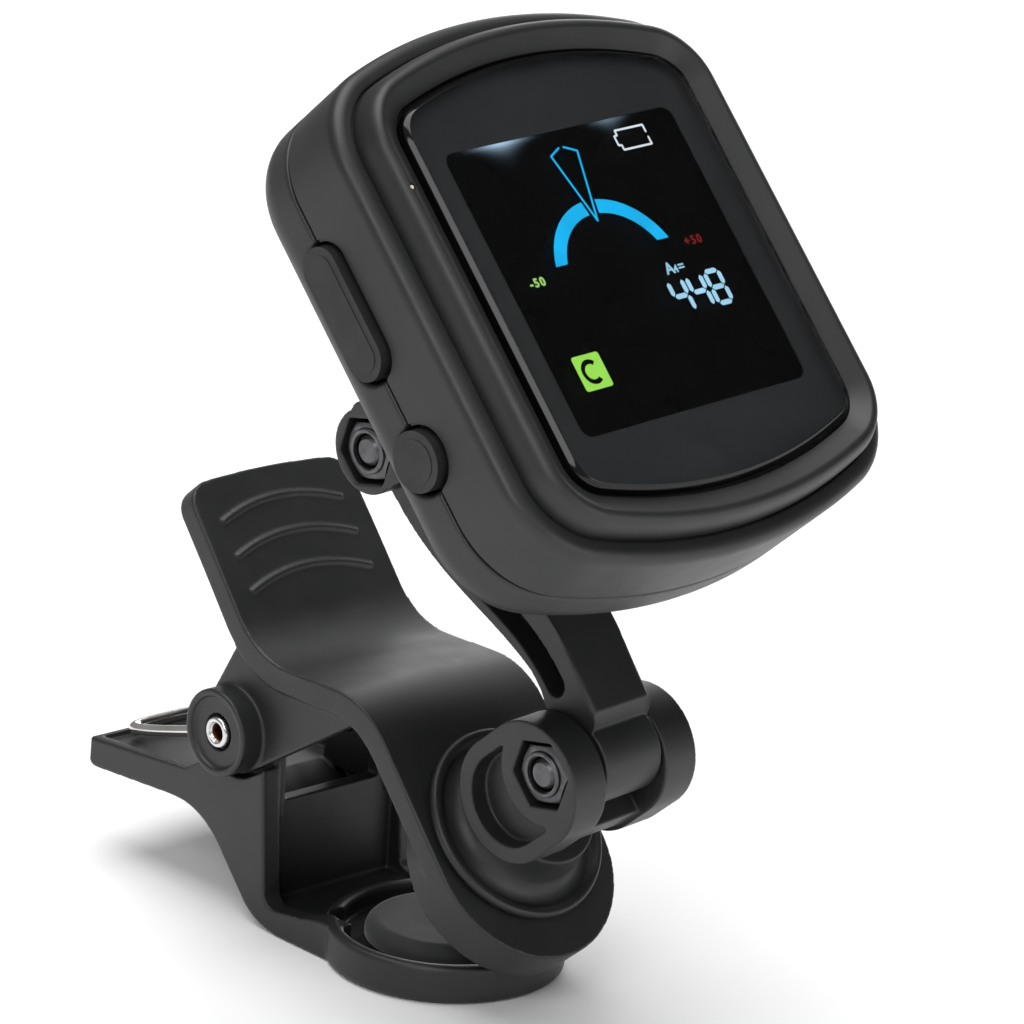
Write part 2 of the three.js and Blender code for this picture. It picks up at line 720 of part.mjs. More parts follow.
// ---- Head ----
function frontShell() {
  const profile = [
    [0, SEAM_Z + GAP / 2],
    [0, -4.8],
    [0.3, -3.5],
    [0.9, -2.5],
    [1.6, -2.0],
    [1.95, -2.0],
    [1.85, -1.0],
    [2.1, -0.1],
    [2.7, 0.8],
    [3.6, 1.35],
    [4.6, 1.35],
    [LENS_INSET - GAP, 0.8],
    [LENS_INSET - GAP, -0.6],
    [7.2, -0.6],
    [7.2, -2.0],
    [3.6, -2.0],
    [WALL, -3.8],
    [WALL, SEAM_Z + GAP / 2],
  ];
  const body = union(housingRing(profile), ...screwPosts());
  const pinhole = pinZ(PINHOLE_X, PINHOLE_Y, PINHOLE_R, -6, 3, 4);
  return cut(body, ...buttonHoles(), socketMouth(), pinhole);
}

function corners() {
  return [
    [-POST_X, -POST_Y],
    [POST_X, -POST_Y],
    [POST_X, POST_Y],
    [-POST_X, POST_Y],
  ];
}

function screwPosts() {
  return corners().map(([x, y]) =>
    cut(pinZ(x, y, POST_R, SEAM_Z + GAP / 2, -2.2, 8), pinZ(x, y, 1.05, SEAM_Z - 1, -4.4, 5)),
  );
}

// The pill-shaped long button and the round button sit across the seam on the left side.
function pill(y, z, length, width) {
  const shape = new THREE.Shape();
  const r = width / 2;
  const reach = length / 2 - r;
  shape.absarc(y + reach, z, r, -Math.PI / 2, Math.PI / 2, false);
  shape.absarc(y - reach, z, r, Math.PI / 2, 1.5 * Math.PI, false);
  return shape;
}

function buttonHoles() {
  const play = 2 * 0.35;
  return [
    across(pill(LONG_Y, BUTTON_Z, LONG_LEN + play, LONG_W + play), -30, -20, 8),
    pinX(ROUND_Y, BUTTON_Z, (ROUND_D + play) / 2, -30, -20, 12),
  ];
}

function socketMouth() {
  return block(20, 30, SOCKET_Y - 4.1, SOCKET_Y + 4.1, BUTTON_Z - 1.9, BUTTON_Z + 1.9);
}

function rearShell() {
  const r = 3.5;
  const profile = [[WALL, SEAM_Z - GAP / 2], [WALL, BACK_Z + WALL], [9, BACK_Z + WALL]];
  const outside = [[9, BACK_Z]];
  for (let i = 0; i <= 5; i++) {
    const a = (i / 5) * (Math.PI / 2);
    outside.push([r - r * Math.sin(a), BACK_Z + r - r * Math.cos(a)]);
  }
  const rim = housingRing([...profile, ...outside, [0, SEAM_Z - GAP / 2]]);
  const back = cut(
    housingSlab(8.9, BACK_Z, BACK_Z + WALL),
    block(-POD_HALF + WALL, POD_HALF - WALL, -POD_HALF + WALL, POD_HALF - WALL, BACK_Z - 1, BACK_Z + 3),
  );
  const body = union(rim, back, podShell(), ...lugs(), ...rearPosts());
  return cut(body, ...hingeSeatsInHead(), ...buttonHoles(), socketMouth(), ...screwHoles());
}

function roundedSquare(half, r) {
  const shape = new THREE.Shape();
  const c = half - r;
  shape.absarc(c, c, r, 0, Math.PI / 2, false);
  shape.absarc(-c, c, r, Math.PI / 2, Math.PI, false);
  shape.absarc(-c, -c, r, Math.PI, 1.5 * Math.PI, false);
  shape.absarc(c, -c, r, 1.5 * Math.PI, 2 * Math.PI, false);
  return shape;
}

function podShell() {
  const skin = extrude(roundedSquare(POD_HALF - 1.5, 2.5), BACK_Z - POD_Z - 1.5, {
    curveSegments: 4,
    bevelEnabled: true,
    bevelSize: 1.5,
    bevelThickness: 1.5,
    bevelSegments: 3,
  });
  const outer = solid(skin.translate(0, 0, POD_Z + 1.5));
  const trimmed = cut(outer, block(-30, 30, -30, 30, BACK_Z + 0.8, 20));
  const half = POD_HALF - WALL;
  return cut(trimmed, block(-half, half, -half, half, POD_Z + WALL, 20));
}

// Each lug flares from the pod and ends in a round eye at the upper hinge.
function lugs() {
  const y = UP_Y - HEAD_Y;
  const z = UP_Z - HEAD_Z;
  const shape = new THREE.Shape();
  shape.moveTo(8.6, POD_Z + 1);
  shape.quadraticCurveTo(5.0, POD_Z - 2.5, y + 4.2, z + 0.8);
  shape.absarc(y, z, 4.3, 11 * RAD, -191 * RAD, true);
  shape.quadraticCurveTo(-6.2, POD_Z - 2.5, -9.6, POD_Z + 1);
  shape.closePath();
  return bothSides(shape, EAR_IN, EAR_OUT, 8).map(fromArm);
}

function hingeSeatsInHead() {
  return hingeSeats(UP_Y - HEAD_Y, UP_Z - HEAD_Z).map(fromArm);
}

// The arm's middle plane lies to the right of the head's.
function fromArm(shape) {
  return shape.translate(-HEAD_X, 0, 0);
}

function rearPosts() {
  return corners().map(([x, y]) => pinZ(x, y, POST_R + 0.4, BACK_Z + 0.5, SEAM_Z - GAP / 2, 8));
}

function screwHoles() {
  return corners().flatMap(([x, y]) => [
    pinZ(x, y, 1.25, BACK_Z - 1, SEAM_Z + 1, 6),
    pinZ(x, y, 2.1, BACK_Z - 1, BACK_Z + 2.4, 8),
  ]);
}

function caseScrew(x, y) {
  const seat = BACK_Z + 2.4 - GAP;
  const body = pinZ(x, y, 1.7, seat - 1.2, seat, 8).add(pinZ(x, y, 0.8, seat - 0.5, -4.8, 5));
  const slot = block(x - 1.1, x + 1.1, y - 0.2, y + 0.2, seat - 2, seat - 0.7);
  const slotAcross = block(x - 0.2, x + 0.2, y - 1.1, y + 1.1, seat - 2, seat - 0.7);
  return cut(body, slot, slotAcross);
}

function lens() {
  return housingSlab(LENS_INSET + 0.1, -0.3, 1.2);
}

function displayPanel() {
  return block(-16.2, 16.2, -17.2, 17.2, -3.2, -0.6 - GAP / 2);
}

// The circuit board, notched round the screw posts.
function circuitBoard() {
  const notches = corners().map(([x, y]) => pinZ(x, y, POST_R + 0.5, -12, 0, 6));
  const plate = housingSlab(WALL + 0.6, BOARD_LOW, BOARD_TOP);
  const buttonSide = block(-30, -20.8, -14.5, 15, -12, 0);
  return cut(plate, ...notches, buttonSide);
}

// The switches lie under the board's left edge, behind the buttons.
function switchBase(y) {
  const body = block(-20.3, -16.9, y - 2.1, y + 2.1, BUTTON_Z - 1.5, BOARD_LOW - GAP);
  return cut(body, pinX(y, BUTTON_Z, 1.05, -21, -18.6, 6));
}

function switchStem(y) {
  return pinX(y, BUTTON_Z, 0.8, -20.9, -19.3, 6);
}

function longButton() {
  const cap = across(pill(LONG_Y, BUTTON_Z, LONG_LEN, LONG_W), -24.9, -22.3, 8);
  const crown = across(pill(LONG_Y, BUTTON_Z, LONG_LEN - 0.8, LONG_W - 0.8), -25.2, -24.8, 8);
  const flange = across(pill(LONG_Y, BUTTON_Z, LONG_LEN + 1.8, LONG_W + 1.8), -22.3, -21.7, 8);
  const stem = pinX(LONG_Y, BUTTON_Z, 1.0, -21.8, -21.2, 6);
  return union(cap, crown, flange, stem);
}

function roundButton() {
  const cap = pinX(ROUND_Y, BUTTON_Z, ROUND_D / 2, -24.9, -22.3, 12);
  const crown = pinX(ROUND_Y, BUTTON_Z, ROUND_D / 2 - 0.4, -25.2, -24.8, 12);
  const flange = pinX(ROUND_Y, BUTTON_Z, ROUND_D / 2 + 0.9, -22.3, -21.7, 10);
  const stem = pinX(ROUND_Y, BUTTON_Z, 1.0, -21.8, -21.2, 6);
  return union(cap, crown, flange, stem);
}

// A small charging socket at the right side, with an open mouth.
function chargingSocket() {
  const [y, z] = [SOCKET_Y, BUTTON_Z - 0.15];
  const shell = block(18.4, 23.9, y - 3.75, y + 3.75, z - 1.35, z + 1.35);
  const mouth = block(19.2, 25, y - 3.45, y + 3.45, z - 1.05, z + 1.05);
  const tongue = block(18.8, 23.0, y - 2.6, y + 2.6, z - 0.1, z + 0.5);
  return union(cut(shell, mouth), tongue);
}

function battery() {
  return block(-9.6, 9.6, -9.6, 9.6, -15.4, -10.6);
}

function piezoDisc() {
  return pinZ(0, 0, 7.5, POD_Z + WALL + GAP, POD_Z + WALL + GAP + 0.5, 14);
}

function microphone() {
  const half = 1.3;
  const x = PINHOLE_X + 0.9;
  return block(x - half, x + half, PINHOLE_Y - half, PINHOLE_Y + half, BOARD_TOP + GAP, -4.9);
}

// ---- Assembly ----
const tuner = new THREE.Group();
const clip = new THREE.Group();
clip.position.z = DATUM;
tuner.add(clip);
const leaningFrame = new THREE.Group();
leaningFrame.position.set(0, TURRET_Y, TURRET_Z);
leaningFrame.rotation.x = SLOPE;
const swivelFrame = new THREE.Group();
swivelFrame.rotation.z = REST_SWIVEL;
const headFrame = new THREE.Group();
headFrame.position.set(HEAD_X, HEAD_Y, HEAD_Z);
clip.add(leaningFrame);
leaningFrame.add(swivelFrame);
swivelFrame.add(headFrame);

clip.add(
  mesh("lower_jaw", lowerJaw(), satinBlack),
  mesh("lower_pad", lowerPad(), rubber),
  mesh("pivot_rivet", pivotRivet(), steel),
  mesh("torsion_spring", torsionSpring(), steel),
  mesh("upper_jaw", upperJaw(), satinBlack),
  mesh("upper_pad", upperPad(), rubber),
);

leaningFrame.add(mesh("swivel_washer", swivelWasher(), steel));

swivelFrame.add(
  mesh("turret", turret(), satinBlack),
  mesh("swivel_screw", swivelScrew(), steel),
  mesh("lower_hinge_screw", hingeScrew(LOW_Y, LOW_Z), darkSteel),
  mesh("lower_hinge_nut", hingeNut(LOW_Y, LOW_Z), darkSteel),
  mesh("arm", arm(), satinBlack),
  mesh("upper_hinge_screw", hingeScrew(UP_Y, UP_Z), darkSteel),
  mesh("upper_hinge_nut", hingeNut(UP_Y, UP_Z), darkSteel),
);

headFrame.add(
  mesh("front_shell", frontShell(), satinBlack),
  mesh("rear_shell", rearShell(), satinBlack),
  mesh("lens", lens(), glossBlack),
  mesh("display_panel", displayPanel(), displayBlack),
  mesh("circuit_board", circuitBoard(), boardGreen),
  mesh("battery", battery(), foil),
  mesh("piezo_disc", piezoDisc(), brass),
  mesh("microphone", microphone(), foil),
  mesh("charging_socket", chargingSocket(), steel),
  mesh("long_button", longButton(), matteBlack),
  mesh("round_button", roundButton(), matteBlack),
);
[
  ["long", LONG_Y],
  ["round", ROUND_Y],
].forEach(([name, y]) => {
  headFrame.add(mesh(`${name}_switch`, switchBase(y), switchGrey));
  headFrame.add(mesh(`${name}_switch_stem`, switchStem(y), matteBlack));
});
corners().forEach(([x, y], i) => {
  headFrame.add(mesh(`case_screw_${i + 1}`, caseScrew(x, y), darkSteel));
});

export default tuner;
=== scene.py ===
import math

import bmesh
import bpy
from mathutils import Matrix, Vector


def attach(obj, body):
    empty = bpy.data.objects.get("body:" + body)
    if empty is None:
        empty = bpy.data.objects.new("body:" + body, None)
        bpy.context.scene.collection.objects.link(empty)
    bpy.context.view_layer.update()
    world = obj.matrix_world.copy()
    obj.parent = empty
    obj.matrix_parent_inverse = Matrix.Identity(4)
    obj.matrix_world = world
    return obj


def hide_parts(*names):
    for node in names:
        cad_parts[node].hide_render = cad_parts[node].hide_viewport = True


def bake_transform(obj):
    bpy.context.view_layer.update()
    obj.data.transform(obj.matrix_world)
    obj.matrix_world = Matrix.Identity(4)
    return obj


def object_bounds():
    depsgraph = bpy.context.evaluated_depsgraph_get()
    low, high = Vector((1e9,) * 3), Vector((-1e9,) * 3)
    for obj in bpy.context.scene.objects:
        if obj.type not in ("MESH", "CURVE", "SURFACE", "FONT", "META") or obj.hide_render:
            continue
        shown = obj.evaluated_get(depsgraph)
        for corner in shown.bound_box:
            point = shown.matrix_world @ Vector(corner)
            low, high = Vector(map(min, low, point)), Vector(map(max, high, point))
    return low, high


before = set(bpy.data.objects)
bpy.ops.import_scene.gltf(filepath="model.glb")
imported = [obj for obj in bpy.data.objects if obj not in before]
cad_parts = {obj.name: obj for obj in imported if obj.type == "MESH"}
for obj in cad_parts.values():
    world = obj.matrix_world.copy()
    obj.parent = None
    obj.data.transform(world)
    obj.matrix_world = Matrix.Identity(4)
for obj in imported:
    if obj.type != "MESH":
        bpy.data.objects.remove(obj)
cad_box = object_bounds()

# A clip-on tuner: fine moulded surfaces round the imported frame. Shapes are drawn in millimetres, in the
# frame of the part they belong to, and scaled to metres when they become pieces.
MM = 0.001

# ---- Clip ----
GAP, RUN = 0.3, 0.25  # between still pieces, and round a turning pin
RELIEF = 0.45  # groove between cheek and lower wall
DATUM = 2.6  # the clip's drawing level above the lower pad's face
PIVOT = (21.6, 13.0)
BOSS_R, BOSS_RIM, BOSS_FACE = 4.5, 13.0, 12.5
PLATE_HALF, PLATE_T, PLATE_SKIN, PLATE_TOP = 10.8, 2.6, 1.7, -0.8
CHEEK_OUT, CHEEK_IN, CHEEK_R = 10.3, 8.9, 4.7
DISC_R, DISC_TOP, DISC_BOTTOM, FLOOR = 12.1, -3.0, -7.0, -5.0
PAD_R, PAD_ROUND = 8.1, 1.4
WALL_IN, LUG_OUT, LUG_IN = 8.1, 8.6, 7.1
RIVET_R, RIVET_BORE, RIVET_HEAD_R = 1.2, 0.75, 1.65
RIB_R, RIB_STEPS = 0.4, 24  # thumb ribs
RIB_REACH, RIB_BOW, RIB_RISE = 8.0, 2.1, 2.55
RIB_ROWS = ((27.6, 32.61), (25.1, 29.61), (22.6, 26.61))
WIRE_R, COIL_R, COIL_TURNS, COIL_PITCH = 0.6, 2.6, 3, 1.4
COIL_X, COIL_STEPS, COIL_START, COIL_EXTRA = 5.2, 14, -58, 75
LOOP_X, LOOP_Y, LOOP_Z = 6.2, 43.1, 4.9 + GAP + WIRE_R
LEG_TIP, LEG_FOOT = (1.0, 28.0, 27.6), (1.0, 22.9, 19.4)
FLEX_START, FLEX_END = (0, 22.3, 17.6), (0, 23.6, 23.5)  # where the legs would bend with the upper jaw; only handed on as bend, and nothing here bends them

# ---- Turret and arm, in the leaning frame ----
LEAN_Y, LEAN_Z, SLOPE, SWIVEL = -9.1, 10.4, 49.3, 3.2
RING_R, END_Y, END_R = 10.0, -3.2, 10.7
CUP_R, CUP_IN, CUP_RIM, CUP_FLOOR = END_R, 9.2, -5.8, -4.0
LOW, UP = (0.9, 15.1), (36.6, 13.3)  # hinge axes, (y, z)
ARM_HALF, EAR_IN, EAR_OUT = 3.8, 4.1, 8.35
SCREW_R, HEAD_SCREW_R = 1.5, 2.75
NUT_FLAT, COLLAR_R, POCKET_FLAT, POCKET_DEPTH = 2.75, 2.3, 3.2, 2.7
SCREW_SEAT = EAR_OUT - POCKET_DEPTH + 0.5

# ---- Head ----
HEAD = (-1.3, 36.6, 48.3)
SIDE, CORNER_X, CORNER_Y, END_ARC_R = 24.4, 15.0, 16.2, 57.6
SEAM_Z, BACK_Z, WALL = -9.4, -15.8, 1.8
POD_HALF, POD_IN, POD_Z = 12.0, 12.0 - WALL, -23.5
BACK_EDGE, FRONT_EDGE = SEAM_Z - GAP / 2, SEAM_Z + GAP / 2
LENS_INSET, LENS_TOP, LENS_UNDER, LENS_CHAMFER = 5.9, 1.2, -0.3, 0.45
BUTTON_Z, BUTTON_FACE, BUTTON_BACK = -9.8, -25.2, -22.2
BUTTONS = {"long": (5.6, 13.4, 4.6), "round": (-9.5, 5.75, 5.75)}  # place along y, length and width
SOCKET_Y, SOCKET_LEN, SOCKET_W = 4.0, 7.5, 2.7
POSTS, POST_R = ((-19.2, -19.6), (19.2, -19.6), (19.2, 19.6), (-19.2, 19.6)), 2.2
CASE_SCREW_R, CASE_SCREW_SUNK = 1.7, 2.4
PINHOLE, PINHOLE_R, GAUZE_Z = (-20.9, 11.95), 0.35, 1.2
EYE = (UP[0] - HEAD[1], UP[1] - HEAD[2])  # the upper hinge's axis, in the head's frame
OVER_ARM = Matrix.Translation((-HEAD[0], 0, 0))  # from the head's middle to the arm's

# ---- Display ----
PANEL_TOP = -0.75  # face of the display panel
WINDOW_X, WINDOW_Y, WINDOW_R = 14.9, 14.6, 1.2
GRAPHIC_LOW, GRAPHIC_HIGH = PANEL_TOP + 0.02, PANEL_TOP + 0.06
LINE = 0.2  # width of the drawn lines
ARC_CENTRE, ARC_OUTER, ARC_INNER = (-0.4, -0.56), 7.9, 6.5
NOTE, NOTE_HALF, LETTER_OUTER, LETTER_INNER = (-9.9, -8.6), (1.72, 1.75), 1.25, 0.76
# Which bars of a seven-bar digit are lit: top, top left, top right, middle, low left, low right, bottom
DIGIT_BARS = {"4": (1, 2, 3, 5), "8": (0, 1, 2, 3, 4, 5, 6)}
DIGIT_W, DIGIT_H, BAR = 1.8, 3.3, 0.5
DIGITS_AT, DIGIT_PITCH = (4.15, -5.5), 2.5
LETTER_SIZE, LETTER_SPACE = 1.4, 1.3  # a font's size for letters one high, and their spacing
LEAKS = ((-7.2, 2.6, 1.0), (7.0, 1.8, 0.3))  # where the backlight leaks: x, spread, strength
LEAK_FADE, LEAK_TAPER = 2.4, 2.0  # how fast a leak fades downwards, and how much faster beside its middle
FILM_GRID, FILM_MARGIN, FILM_LIFT, FILM_THICKNESS = 90, 0.6, 0.015, 0.01

CLIP = Matrix.Translation((0, 0, DATUM))
TAB = Matrix.Translation((0, 6.0, 6.4)) @ Matrix.Rotation(math.radians(50.3), 4, "X")  # along the thumb tab
LEAN = Matrix.Translation((0, LEAN_Y, LEAN_Z)) @ Matrix.Rotation(math.radians(SLOPE), 4, "X")
TURRET = CLIP @ LEAN @ Matrix.Rotation(math.radians(SWIVEL), 4, "Z")
FACE = TURRET @ Matrix.Translation(HEAD)

ARC_STEP, CURVE_STEPS = 5.0, 14  # degrees between the points of an arc, and spans of a curve


# ---- Outlines ----
def bezier(knots, t):
    """The point at t on the Bezier curve of these knots."""
    while len(knots) > 1:
        knots = [tuple(a + (b - a) * t for a, b in zip(p, q)) for p, q in zip(knots, knots[1:])]
    return knots[0]


def polar(centre, radius, angle):
    return (centre[0] + radius * math.cos(angle), centre[1] + radius * math.sin(angle))


class Outline:
    """A closed outline in one plane: straight runs, arcs and curves."""

    def __init__(self, *corners):
        self.points = []
        self.to(*corners)

    def to(self, *corners):
        for corner in corners:
            if not self.points or math.dist(corner, self.points[-1]) > 1e-4:
                self.points.append(tuple(corner))
        return self

    def arc(self, centre, radius, start, end):
        steps = max(2, round(abs(end - start) / ARC_STEP))
        for i in range(steps + 1):
            self.to(polar(centre, radius, math.radians(start + (end - start) * i / steps)))
        return self

    def curve(self, *knots):
        """A Bezier curve on from the last point, through one or two controls to the last knot."""
        run = [self.points[-1], *knots]
        return self.to(*(bezier(run, i / CURVE_STEPS) for i in range(1, CURVE_STEPS + 1)))


def disc(centre, radius):
    return Outline().arc(centre, radius, 0, 360)


def rounded_box(half_x, half_y, r):
    shape = Outline()
    for i, (sx, sy) in enumerate([(1, 1), (-1, 1), (-1, -1), (1, -1)]):
        shape.arc((sx * (half_x - r), sy * (half_y - r)), r, 90 * i, 90 * i + 90)
    return shape


def hexagon(centre, flat):
    r = flat / math.cos(math.pi / 6)
    return Outline(*(polar(centre, r, math.radians(60 * i)) for i in range(6)))


def pill(y, z, length, width):
    reach = (length - width) / 2
    return Outline().arc((y + reach, z), width / 2, -90, 90).arc((y - reach, z), width / 2, 90, 270)


# ---- Solids ----
def linked(name, data):
    made = bpy.data.objects.new(name, data)
    bpy.context.scene.collection.objects.link(made)
    return made


def solid(bm):
    """An object of this bmesh, which has to be one closed surface."""
    bmesh.ops.remove_doubles(bm, verts=bm.verts, dist=1e-5)
    bmesh.ops.recalc_face_normals(bm, faces=bm.faces)
    made = bpy.data.meshes.new("solid")
    bm.to_mesh(made)
    bm.free()
    return linked("solid", made)


def open_ring(points):
    """The points of a loop without the last one where it repeats the first."""
    return points[:-1] if math.dist(points[0], points[-1]) < 1e-4 else points


def prism(outline, low, high, along="z", soft=0.0):
    """An outline in (x, y) standing along z, or one in (y, z) lying along x; soft rounds its end rims."""
    bm = bmesh.new()
    points = open_ring(outline.points)
    place = (lambda p, h: (p[0], p[1], h)) if along == "z" else (lambda p, h: (h, p[0], p[1]))
    rows = [[bm.verts.new(place(p, h)) for p in points] for h in (low, high)]
    caps = [bm.faces.new(row) for row in rows]
    bridge(bm, rows[0], rows[1])
    if soft:
        rims = [edge for cap in caps for edge in cap.edges]
        bmesh.ops.bevel(bm, geom=rims, offset=soft, segments=4, profile=0.5, affect="EDGES")
    return solid(bm)


def bridge(bm, one, two):
    for i in range(len(one)):
        j = (i + 1) % len(one)
        bm.faces.new((one[i], one[j], two[j], two[i]))


def both_sides(outline, low, high, soft=0.0):
    return [prism(outline, low, high, "x", soft), prism(outline, -high, -low, "x", soft)]


def pin(centre, radius, low, high, along="x"):
    return prism(disc(centre, radius), low, high, along)


def block(x0, x1, y0, y1, z0, z1):
    return prism(Outline((x0, y0), (x1, y0), (x1, y1), (x0, y1)), z0, z1)


def lathe(profile, segments=96):
    """A closed (radius, height) profile turned round the z axis."""
    bm = bmesh.new()
    rings = []
    for r, z in open_ring(profile.points):
        turns = [math.tau * i / segments for i in range(segments)] if r > 1e-6 else [0]
        rings.append([bm.verts.new((r * math.cos(a), r * math.sin(a), z)) for a in turns])
    for one, two in zip(rings, rings[1:] + rings[:1]):
        if len(one) == len(two) > 1:
            bridge(bm, one, two)
        elif len(one) != len(two):
            tip, ring = (one[0], two) if len(one) == 1 else (two[0], one)
            for i in range(segments):
                bm.faces.new((ring[i], ring[(i + 1) % segments], tip))
    return solid(bm)


def loft(loops, capped):
    """A skin through loops of equal count: capped at its ends, or closed on itself as a ring."""
    bm = bmesh.new()
    rows = [[bm.verts.new(p) for p in loop] for loop in loops]
    pairs = zip(rows, rows[1:]) if capped else zip(rows, rows[1:] + rows[:1])
    for one, two in pairs:
        bridge(bm, one, two)
    if capped:
        bm.faces.new(rows[0])
        bm.faces.new(rows[-1])
    return solid(bm)


def evaluated(shape):
    """A mesh of the object as its modifiers leave it."""
    return bpy.data.meshes.new_from_object(shape.evaluated_get(bpy.context.evaluated_depsgraph_get()))


def settle(shape):
    made = evaluated(shape)
    shape.modifiers.clear()
    shape.data = made


def combine(shape, others, operation):
    for other in others:
        step = shape.modifiers.new(operation, "BOOLEAN")
        step.solver = "MANIFOLD"
        step.operation = operation
        step.object = other
    settle(shape)
    for other in others:
        bpy.data.objects.remove(other)
    return shape


def join(shape, *others):
    return combine(shape, others, "UNION")


def cut(shape, *others):
    return combine(shape, others, "DIFFERENCE")


def common(shape, *others):
    return combine(shape, others, "INTERSECT")


def lying(axis):
    """Turns something built along z so that it lies along x on an axis at this (y, z)."""
    return Matrix.Translation((0, *axis)) @ Matrix.Rotation(math.pi / 2, 4, "Y")


def moved(matrix, *shapes):
    for shape in shapes:
        shape.data.transform(matrix)
    return shapes if len(shapes) > 1 else shapes[0]


def mould(shape, voxel, rounds, faces):
    """Softens every edge as a moulding tool does: an even skin, smoothed, then thinned out."""
    skin = shape.modifiers.new("skin", "REMESH")
    skin.mode = "VOXEL"
    skin.voxel_size = voxel
    smooth = shape.modifiers.new("smooth", "SMOOTH")
    smooth.factor = 0.5
    smooth.iterations = rounds
    settle(shape)
    count = len(shape.data.polygons) * 2
    if count > faces:
        thin = shape.modifiers.new("thin", "DECIMATE")
        thin.ratio = faces / count
        settle(shape)
    return shape


def paint(shape, finish, chosen):
    """A second finish on the faces that chosen(centre, normal) picks, in the shape's own millimetres."""
    for face in shape.data.polygons:
        face.material_index = 1 if chosen(face.center, face.normal) else 0
    shape["second_finish"] = finish.name
    return shape


def piece(name, shape, finish, body, nodes=(), place=FACE, crisp=None, bend=None):
    """Turns a solid into a named piece: placed, in metres and smooth. It rides on its body unless bend is
    given. bend names a second body and where a bend would start and end, but only whether it is given is
    read: such a piece stays where it is placed, on no body, and nothing here bends it."""
    shape.name = name
    made = shape.data
    made.name = name
    made.transform(Matrix.Scale(MM, 4) @ place)
    faces = [face.material_index for face in made.polygons]
    made.materials.clear()
    made.materials.append(finish)
    if "second_finish" in shape:
        made.materials.append(bpy.data.materials[shape["second_finish"]])
        made.polygons.foreach_set("material_index", faces)
    made.shade_smooth()
    if crisp:
        made.set_sharp_from_angle(angle=math.radians(crisp))
    if bend:
        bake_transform(shape)
    else:
        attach(shape, body)
    if nodes:
        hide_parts(*nodes)
    return shape


# ---- Finishes ----
NOISE_LOW, NOISE_HIGH = 0.3, 0.7  # most of a noise's values lie between these
FLOW_MM, WEAR_MM, SCRATCH_MM, SCRATCH_DEPTH = 9.0, 2.5, 0.25, 0.0012


def fill(node, **values):
    """Sets a node's inputs; an underscore in a name stands for a space."""
    for name, value in values.items():
        node.inputs[name.replace("_", " ")].default_value = value
    return node


class Nodes:
    """A node material with a Principled shader, and short calls for the nodes that feed it."""

    def __init__(self, name):
        self.material = bpy.data.materials.new(name)
        self.material.use_nodes = True
        self.tree = self.material.node_tree
        self.link = self.tree.links.new
        self.shader = self.tree.nodes["Principled BSDF"]
        self.where = self.add("ShaderNodeTexCoord").outputs["Object"]

    def add(self, kind, **values):
        return fill(self.tree.nodes.new(kind), **values)

    def noise(self, size_mm, detail=2.0, stretch=None):
        """Noise whose features are about size_mm across."""
        node = self.add("ShaderNodeTexNoise", Scale=1 / (size_mm * MM), Detail=detail)
        source = self.where
        if stretch:
            mapping = self.add("ShaderNodeMapping", Scale=stretch)
            self.link(source, mapping.inputs["Vector"])
            source = mapping.outputs["Vector"]
        self.link(source, node.inputs["Vector"])
        return node.outputs["Fac"]

    def spread(self, source, low, high):
        """Noise stretched over a range of values."""
        limits = {"From_Min": NOISE_LOW, "From_Max": NOISE_HIGH, "To_Min": low, "To_Max": high}
        node = self.add("ShaderNodeMapRange", **limits)
        self.link(source, node.inputs["Value"])
        return node.outputs["Result"]

    def tint(self, source, dark, light):
        node = self.add("ShaderNodeValToRGB")
        ramp = node.color_ramp.elements
        ramp[0].position, ramp[1].position = NOISE_LOW, NOISE_HIGH
        ramp[0].color, ramp[1].color = (*dark, 1), (*light, 1)
        self.link(source, node.inputs["Fac"])
        self.link(node.outputs["Color"], self.shader.inputs["Base Color"])

    def gloss(self, source, low, high):
        """Roughness that varies between two values."""
        self.link(self.spread(source, low, high), self.shader.inputs["Roughness"])

    def relief(self, source, height_mm):
        node = self.add("ShaderNodeBump", Strength=1.0, Distance=height_mm * MM)
        self.link(source, node.inputs["Height"])
        self.link(node.outputs["Normal"], self.shader.inputs["Normal"])

    def glow(self, colour, source):
        """Light of its own, as strong as the source says."""
        fill(self.shader, Emission_Color=(*colour, 1))
        self.link(source, self.shader.inputs["Emission Strength"])


def moulded(name, dark, light, rough, grain_mm, grain_height, sheen=0.0):
    """Moulded plastic or rubber: a fine even grain, faint flow marks in its tone and gloss."""
    made = Nodes(name)
    made.tint(made.noise(FLOW_MM, 3.0), dark, light)
    made.gloss(made.noise(WEAR_MM, 4.0), *rough)
    made.relief(made.noise(grain_mm, 3.0), grain_height)
    if sheen:
        fill(made.shader, Sheen_Weight=sheen, Sheen_Roughness=0.5)
    return made.material


def metal(name, dark, light, rough, stretch):
    """Metal with fine drawn scratches."""
    made = Nodes(name)
    fill(made.shader, Metallic=1.0)
    scratches = made.noise(SCRATCH_MM, 4.0, stretch)
    made.tint(made.noise(1.2, 3.0), dark, light)
    made.gloss(scratches, *rough)
    made.relief(scratches, SCRATCH_DEPTH)
    return made.material


def even(name, patch_mm, dark, light, gloss_mm, rough, leak=None, **values):
    """A surface without grain, its tone and gloss a little uneven.
    leak is the colour of the light that shows where the mesh carries a glow."""
    made = Nodes(name)
    made.tint(made.noise(patch_mm), dark, light)
    made.gloss(made.noise(gloss_mm), *rough)
    fill(made.shader, **values)
    if leak:
        carried = made.add("ShaderNodeAttribute")
        carried.attribute_name = "glow"
        made.glow(leak, carried.outputs["Fac"])
    return made.material


def lit(name, colour, strength):
    """A lit part of the display, a little uneven as a backlight is."""
    made = Nodes(name)
    made.tint(made.noise(2.0), (0, 0, 0), (0.01, 0.01, 0.01))
    made.glow(colour, made.spread(made.noise(3.0), strength * 0.9, strength * 1.1))
    return made.material


